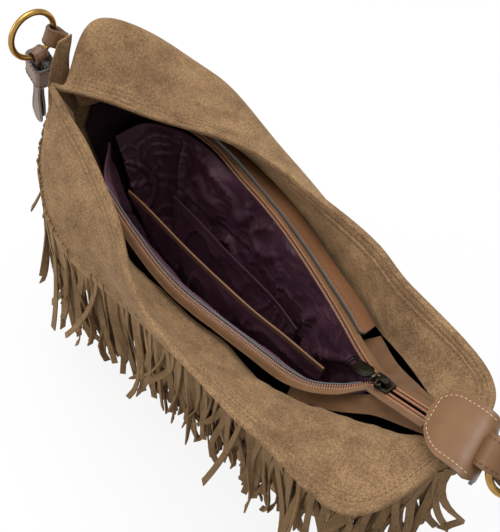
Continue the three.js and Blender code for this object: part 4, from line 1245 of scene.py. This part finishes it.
def band_route(ring_lines, angle, away, near, far, width, apart, twist=0.0, stops=26):
    """The middle line and the width directions of a band folded round a ring's wire."""
    at, tangent = ring_lines
    wire, axis = at(angle), tangent(angle)
    out = unit(np.asarray(away, float) - axis * np.dot(away, axis))
    side = np.cross(axis, out)
    room = RING_WIRE / 2 + RING_RADIUS - math.sqrt(RING_RADIUS ** 2 - (width / 2) ** 2) + 0.55 * MM
    middle = room + LOOP / 2

    def leg(distance, sign):
        turned = twist * ramp(distance, 3.6 * MM, 11.5 * MM)
        spread = middle + (apart - middle) * ramp(distance, 0, 8 * MM)
        point = wire + out * distance + turn_about(side, out, turned) * sign * spread
        return point, turn_about(axis, out, turned)

    shares = 1 - np.linspace(0, 0.97, stops)
    route = [leg(near * share, 1) for share in shares]
    for turn in np.linspace(0, math.pi, 13):
        route.append((wire + side * middle * math.cos(turn) - out * middle * math.sin(turn), axis))
    route += [leg(far * share, -1) for share in shares[::-1]]
    frame_at_end = {"wire": wire, "out": out, "side": turn_about(side, out, twist),
                    "axis": turn_about(axis, out, twist)}
    return np.array([p for p, _ in route]), np.array([s for _, s in route]), frame_at_end


def strap_piece(node, path, sides, half_width, half_height, face=leather):
    """A flat leather strap with painted edges, which stands for a CAD node."""
    swept(f"{node}_leather", path, sides, half_width, half_height, [face, brown_paint],
          replaces=[node], around=16, square=0.35)


def edge_stitches(name, path, sides, half_width, half_height, inset, faces=(1, -1)):
    """Rows of stitches along both edges of a strap, on the given faces."""
    ahead, sides, lifts = path_frames(path, sides)
    reach = (np.broadcast_to(half_width, (len(path),)) - inset)[:, None]
    for face in faces:
        for edge in (1, -1):
            line = path + sides * reach * edge + lifts * half_height * face
            stitch_row(name, line, lifts * face, brown_thread)


LEGS_APART = LOOP / 2 + TOUCH
STRAP_THICK = 3.2 * MM
for name, ring_lines, angle, away, reach, width in (
        ("right_ring_loop", right_ring, -math.pi / 2, (-1, 0, -0.3), 17 * MM, 13 * MM),
        ("left_ring_loop", left_ring, -0.6, (0.85, 0.4, -0.335), 9 * MM, 12 * MM)):
    path, sides, _ = band_route(ring_lines, angle, away, reach, reach, width, LEGS_APART)
    strap_piece(name, path, sides, width / 2, LOOP / 2)
    edge_stitches(f"{name}_stitches", path, sides, width / 2, LOOP / 2, 1.8 * MM)

# %% Strap ends
STRAP_WIDTH, NECK, TAIL = 18 * MM, 9 * MM, 14 * MM
path, sides, right_band = band_route(right_ring, 2.25, (0.95, 0.3, -0.12), 34 * MM, 34 * MM, STRAP_WIDTH,
                                     STRAP_THICK / 2 + LOOP / 2 + TOUCH)
strap_piece("strap_right_end", path, sides, STRAP_WIDTH / 2, LOOP / 2)
edge_stitches("strap_right_end_stitches", path, sides, STRAP_WIDTH / 2, LOOP / 2, 2.2 * MM, faces=(1,))
HANGING_OUT = (-0.295, -0.26, -0.919)
path, sides, left_band = band_route(left_ring, -math.pi / 2, HANGING_OUT, 84 * MM, 77 * MM, NECK, LEGS_APART,
                                    twist=-1.4, stops=60)
from_start = distances(path)
from_middle = np.abs(from_start / from_start[-1] - 0.5) * 2
swelling = ramp(from_middle, 0.55, 0.85)
rounding = np.sqrt(np.maximum(1 - np.clip((from_middle - 0.9) / 0.1, 0, 1) ** 2, 0.03))
paddle_half = (NECK + (TAIL - NECK) * swelling) / 2 * rounding
strap_piece("strap_left_end", path, sides, paddle_half, LOOP / 2, tail_leather)
edge_stitches("strap_left_end_stitches", path[6:-6], sides[6:-6], paddle_half[6:-6], LOOP / 2, 1.5 * MM,
              faces=(1,))

# %% [markdown]
# The keeper is a leather tube round both tails and the strap. It has painted edges and a row of stitches
# along each of them. The strap hangs from it behind the bag, lies along the floor and climbs to the right.

# %% Keeper and shoulder strap
STRAP_BEHIND = LEGS_APART + LOOP / 2 + TOUCH + STRAP_THICK / 2
KEEPER, KEEPER_HEIGHT, KEEPER_FROM = 2 * MM, 21 * MM, 6.6 * MM
KEEPER_ROOM, KEEPER_CORNER = 1.8 * MM, 2 * MM
half_x = math.hypot(NECK, LOOP * 4) / 2 + KEEPER_ROOM
half_y = (LEGS_APART + LOOP / 2 + STRAP_BEHIND + STRAP_THICK / 2) / 2 + KEEPER_ROOM
corner_turn = np.linspace(0, math.pi / 2, 9)
outline, outline_out = [], []
for quarter, (cx, cy) in enumerate(((1, 1), (-1, 1), (-1, -1), (1, -1))):
    for turn in corner_turn + quarter * math.pi / 2:
        outward = np.array([math.cos(turn), math.sin(turn)])
        middle = np.array([cx * (half_x - KEEPER_CORNER), cy * (half_y - KEEPER_CORNER)])
        outline.append(middle + outward * KEEPER_CORNER)
        outline_out.append(outward)
outline, outline_out = np.array(outline), np.array(outline_out)
keeper_x = left_band["axis"]
keeper_y = unit(np.cross(left_band["out"], left_band["axis"]))
keeper_shift = (STRAP_BEHIND + STRAP_THICK / 2 - LEGS_APART - LOOP / 2) / 2
keeper_foot = left_band["wire"] + left_band["out"] * KEEPER_FROM - left_band["side"] * keeper_shift
ring_points = outline[:, :1] * keeper_x + outline[:, 1:] * keeper_y
ring_out = outline_out[:, :1] * keeper_x + outline_out[:, 1:] * keeper_y
heights = np.linspace(0, KEEPER_HEIGHT, 14)
keeper_grid = keeper_foot + ring_points[None] + heights[:, None, None] * left_band["out"]
keeper_normals = np.repeat(ring_out[None], len(heights), 0)
slab("strap_keeper_leather", keeper_grid, 0, KEEPER, [tail_leather, brown_paint], ["strap_keeper"],
     "keeper", closed=True, edge=0.4 * MM, normals=keeper_normals)
for height in (2.4 * MM, KEEPER_HEIGHT - 2.4 * MM):
    around_line = keeper_foot + ring_points + ring_out * KEEPER + left_band["out"] * height
    around_line = np.concatenate([around_line, around_line[:1]])
    dense = smooth_line(around_line, np.linspace(0, 1, 200))
    dense_out = smooth_line(np.concatenate([ring_out, ring_out[:1]]), np.linspace(0, 1, 200))
    stitch_row("strap_keeper_stitches", dense, dense_out, brown_thread, body="keeper")


def left_hang(distance):
    return left_band["wire"] + left_band["out"] * distance - left_band["side"] * STRAP_BEHIND


def right_reach(distance):
    return right_band["wire"] + right_band["out"] * distance


def on_floor(x, y, rise=0):
    return np.array([x, y, 0]) * MM + [0, 0, STRAP_THICK / 2 + 0.4 * MM + rise * MM]


FLAT = ALONG_Y[0]
hang, reach = left_band["axis"], -right_band["axis"]
strap_route = [
    (left_hang(15 * MM), hang), (left_hang(21 * MM), hang), (left_hang(28 * MM), hang),
    (left_hang(34 * MM) - left_band["side"] * 1 * MM, hang),
    (left_hang(46 * MM) - left_band["side"] * 6 * MM, hang),
    (np.array([-207, 18, 178]) * MM, (-0.9, 0.4, 0)), (np.array([-208, 50, 136]) * MM, (-0.75, 0.65, 0)),
    (np.array([-199, 82, 85]) * MM, (-0.5, 0.85, 0)), (np.array([-180, 110, 36]) * MM, (-0.2, 1, 0)),
    (on_floor(-150, 126, 5), FLAT), (on_floor(-110, 130), FLAT), (on_floor(-40, 130), FLAT),
    (on_floor(40, 130), FLAT), (on_floor(110, 126), FLAT), (on_floor(160, 112, 4), FLAT),
    (np.array([196, 94, 18]) * MM, (0.25, 0.97, 0)), (np.array([222, 73, 48]) * MM, (0.3, 0.95, 0)),
    (np.array([240, 52, 92]) * MM, (0.25, 0.97, 0)), (np.array([250, 34, 140]) * MM, (0.1, 0.99, 0)),
    (np.array([252, 20, 184]) * MM, (0, 0.95, 0.2)),
    (right_reach(58 * MM) * [1, 1, 0] + [0, 0, right_reach(58 * MM)[2] - 12 * MM], reach),
    (right_reach(44 * MM), reach), (right_reach(34 * MM), reach), (right_reach(24 * MM), reach),
    (right_reach(14 * MM), reach),
]
strap_t = np.linspace(0, 1, 420)
strap_path = smooth_line(np.array([p for p, _ in strap_route]), strap_t)
strap_sides = smooth_line(np.array([np.asarray(s, float) for _, s in strap_route]), strap_t)
grown = ramp(strap_t, 0.08, 0.16)
strap_half = (NECK + (STRAP_WIDTH - NECK) * grown) / 2
strap_piece("shoulder_strap", strap_path, strap_sides, strap_half, STRAP_THICK / 2)
edge_stitches("shoulder_strap_stitches", strap_path[60:-12], strap_sides[60:-12], strap_half[60:-12],
              STRAP_THICK / 2, 2.2 * MM)

# %% [markdown]
# The slider, its connector ring and its pull are plated metal. Each keeps the exact CAD form, with its
# sharp corners rounded off by a small bevel, as on cast parts.

# %% Zip hardware
def rounded_copy(node, name, body, width):
    """A copy of a CAD node, with its doubled points merged and its corners rounded."""
    source = bpy.data.objects[node]
    piece = source.copy()
    piece.data = source.data.copy()
    piece.name = piece.data.name = name
    for key in [key for key in piece.keys() if key.startswith("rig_")]:
        del piece[key]
    bpy.context.scene.collection.objects.link(piece)
    matrix = source.matrix_world.copy()
    piece.parent = None
    piece.matrix_world = matrix
    pick(piece)
    bpy.ops.object.transform_apply(location=True, rotation=True, scale=True)
    bpy.ops.object.mode_set(mode="EDIT")
    bpy.ops.mesh.select_all(action="SELECT")
    bpy.ops.mesh.remove_doubles(threshold=0.01 * MM)
    bpy.ops.mesh.dissolve_limited(angle_limit=math.radians(1))
    bpy.ops.mesh.normals_make_consistent(inside=False)
    bpy.ops.object.mode_set(mode="OBJECT")
    apply_modifier(piece, "BEVEL", limit_method="ANGLE", angle_limit=math.radians(35), width=width,
                   segments=2, use_clamp_overlap=True)
    soften(piece, 40)
    piece.data.materials.clear()
    give_finishes(piece, gunmetal)
    for polygon in piece.data.polygons:
        polygon.material_index = 0
    piece.hide_render = False
    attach(piece, body)
    label([node])
    print(f"{name}: {len(piece.data.polygons)} faces")


rounded_copy("zip_slider", "zip_slider_metal", "slider", 0.35 * MM)
rounded_copy("zip_pull", "zip_pull_metal", "pull", 0.28 * MM)
rounded_copy("zip_end_stop", "zip_end_stop_metal", "bag", 0.3 * MM)


def wire_loop(name, points, diameter, finish, body, node):
    """A closed loop of round wire through the given points."""
    ring_of = np.concatenate([points[-2:], points, points[:3]])
    share = np.linspace(2 / (len(ring_of) - 1), (len(points) + 2) / (len(ring_of) - 1), 161)[:-1]
    path = smooth_line(ring_of, share)
    ahead = unit(np.roll(path, -1, 0) - np.roll(path, 1, 0))
    side = unit(np.cross(ahead, chain_up))
    up = np.cross(side, ahead)
    around = 14
    turn = np.arange(around) * 2 * math.pi / around
    mesh_points = (path[:, None] + side[:, None] * np.cos(turn)[None, :, None] * diameter / 2
                   + up[:, None] * np.sin(turn)[None, :, None] * diameter / 2)
    piece = new_piece(name, body)
    faces = tube_faces(len(path), around, closed=True).tolist()
    piece.data.from_pydata(mesh_points.reshape(-1, 3).tolist(), [], faces)
    give_finishes(piece, finish)
    turn_outwards(piece)
    soften(piece, 60)
    label([node])


HINGE, REACH, BRIDGE_LIFT = 9.8 * MM, 3.8 * MM, 4.3 * MM
RING_LONG = 8.4 * MM
connector_points = np.array([along_chain(HINGE + ahead * MM, sideways, BRIDGE_LIFT) for ahead, sideways in (
    (0, 0), (0, REACH * 0.8), (-2, REACH), (2 - RING_LONG / MM, REACH), (-RING_LONG / MM, REACH * 0.8),
    (-RING_LONG / MM, -REACH * 0.8), (2 - RING_LONG / MM, -REACH), (-2, -REACH), (0, -REACH * 0.8))])
wire_loop("zip_connector_metal", connector_points, 1.4 * MM, gunmetal, "connector", "zip_connector_ring")

# %% [markdown]
# The fringe: three rows of flat suede strands, cut in one piece each and sewn under the yoke's lapped
# edge. They hang by their own weight, but each has its own twist, length and flick, and the ones near the
# left end stand out most. The numbers come from seeded draws, so every run gives the same fringe.

# %% Fringe
STRAND_WIDTH, STRAND_THICK, STRAND_PITCH = 4.6 * MM, 1.1 * MM, 5.6 * MM
STRAND_LENGTH, STRAND_STOPS = 146 * MM, 13
LONGEST_FLICK, FURTHEST_FRONT, LOWEST = 28 * MM, -86 * MM, 3 * MM
SEAM_STOPS = 600
seam_line = slouched(smooth_line(front_rails[3], np.linspace(0.006, 0.994, SEAM_STOPS)))
seam_ahead = unit(np.gradient(seam_line, axis=0))
seam_flat = unit(seam_ahead * [1, 1, 0])
seam_out = np.cross(seam_flat, [0, 0, -1.0])
seam_out = seam_out * np.where(seam_out[:, 1:2] > 0, -1, 1)


def fringe_row(name, node, layers, seed):
    draw = np.random.default_rng(seed)
    strands, shades = [], []
    for layer in layers:
        places = even_places(seam_line, STRAND_PITCH, 0.25 + 0.5 * (layer % 2))
        count = len(places)
        places = np.clip(places + draw.normal(0, 0.5, count), 0, SEAM_STOPS - 1)
        start = at_places(seam_line, places)
        flat = unit(at_places(seam_flat, places))
        out = unit(at_places(seam_out, places))
        to_left = 1 - np.clip((start[:, 0] + 0.170) / 0.110, 0, 1)
        length = STRAND_LENGTH * draw.uniform(0.90, 1.0, count)
        length = length * (1 - 0.27 * ramp(start[:, 0], -0.150, -0.070))
        short = draw.random(count) < 0.10 + 0.22 * to_left
        length = np.where(short, length * draw.uniform(0.55, 0.85, count), length)
        length = np.minimum(length, start[:, 2] - 5 * MM)
        t = np.linspace(0, 1, STRAND_STOPS)[None, :]
        flick = (draw.gamma(1.5, 4.2, count) * (0.5 + 0.35 * layer) + 6.0 * to_left) * MM
        flick = np.minimum(flick + short * 9 * MM, LONGEST_FLICK)
        sway = (draw.normal(0, 12.0, count) - 6.0 * to_left) * MM
        wave = draw.normal(0, 3.6, (count, 1)) * MM
        turn = draw.uniform(0, 2 * math.pi, (count, 1))
        outward = 0.6 * MM + layer * 1.2 * MM + flick[:, None] * t ** 2
        outward = outward + wave * np.sin(t * 5 + turn) * t + 2.5 * MM * layer * np.sin(math.pi * t) * 0.4
        along = sway[:, None] * t ** 1.6 + wave * np.cos(t * 6 + turn * 2) * t * 1.4
        drop = length[:, None] * t - np.where(short, 1, 0)[:, None] * flick[:, None] * t ** 3 * 0.5
        middle = (start[:, None] + out[:, None] * outward[..., None] + flat[:, None] * along[..., None]
                  + (5 * MM - drop)[..., None] * np.array([0, 0, 1.0]))
        middle[..., 2] = np.maximum(middle[..., 2], LOWEST)
        middle[..., 1] = np.maximum(middle[..., 1], FURTHEST_FRONT)
        twist = draw.normal(0, 0.3, (count, 1)) + draw.normal(0, 1.0, (count, 1)) * t ** 1.2
        ahead = unit(np.gradient(middle, axis=1))
        wide = square_to(flat[:, None] * np.cos(twist)[..., None] + out[:, None] * np.sin(twist)[..., None],
                         ahead)
        thick = np.cross(ahead, wide)
        half = STRAND_WIDTH / 2 * draw.uniform(0.88, 1.06, (count, 1, 1))
        slant = draw.normal(0, 1.1, (count, 1)) * MM * (t > 0.999)
        strands.append(np.stack([middle + wide * w * half + thick * h * STRAND_THICK / 2
                                 + ahead * (w * slant)[..., None]
                                 for w, h in ((-1, -1), (1, -1), (1, 1), (-1, 1))], 2))
        shades.append(draw.random(count))
    strands, shades = np.concatenate(strands), np.concatenate(shades)
    size = STRAND_STOPS * 4
    one_strand = [*tube_faces(STRAND_STOPS, 4).tolist(), [3, 2, 1, 0],
                  [size - 4, size - 3, size - 2, size - 1]]
    faces = (np.arange(len(strands))[:, None, None] * size + np.array(one_strand)).reshape(-1, 4)
    piece = new_piece(name)
    piece.data.from_pydata(strands.reshape(-1, 3).tolist(), [], faces.tolist())
    give_finishes(piece, fringe_suede)
    shade = piece.data.attributes.new("strand", "FLOAT", "POINT")
    shade.data.foreach_set("value", np.repeat(shades, size))
    turn_outwards(piece)
    soften(piece, 40)
    label([node])
    print(f"{name}: {len(strands)} strands of {STRAND_LENGTH * 1000:.0f} mm, {len(faces)} faces")


fringe_row("fringe_inner_suede", "fringe_inner_row", [0, 1], 101)
fringe_row("fringe_outer_suede", "fringe_outer_row", [2], 202)
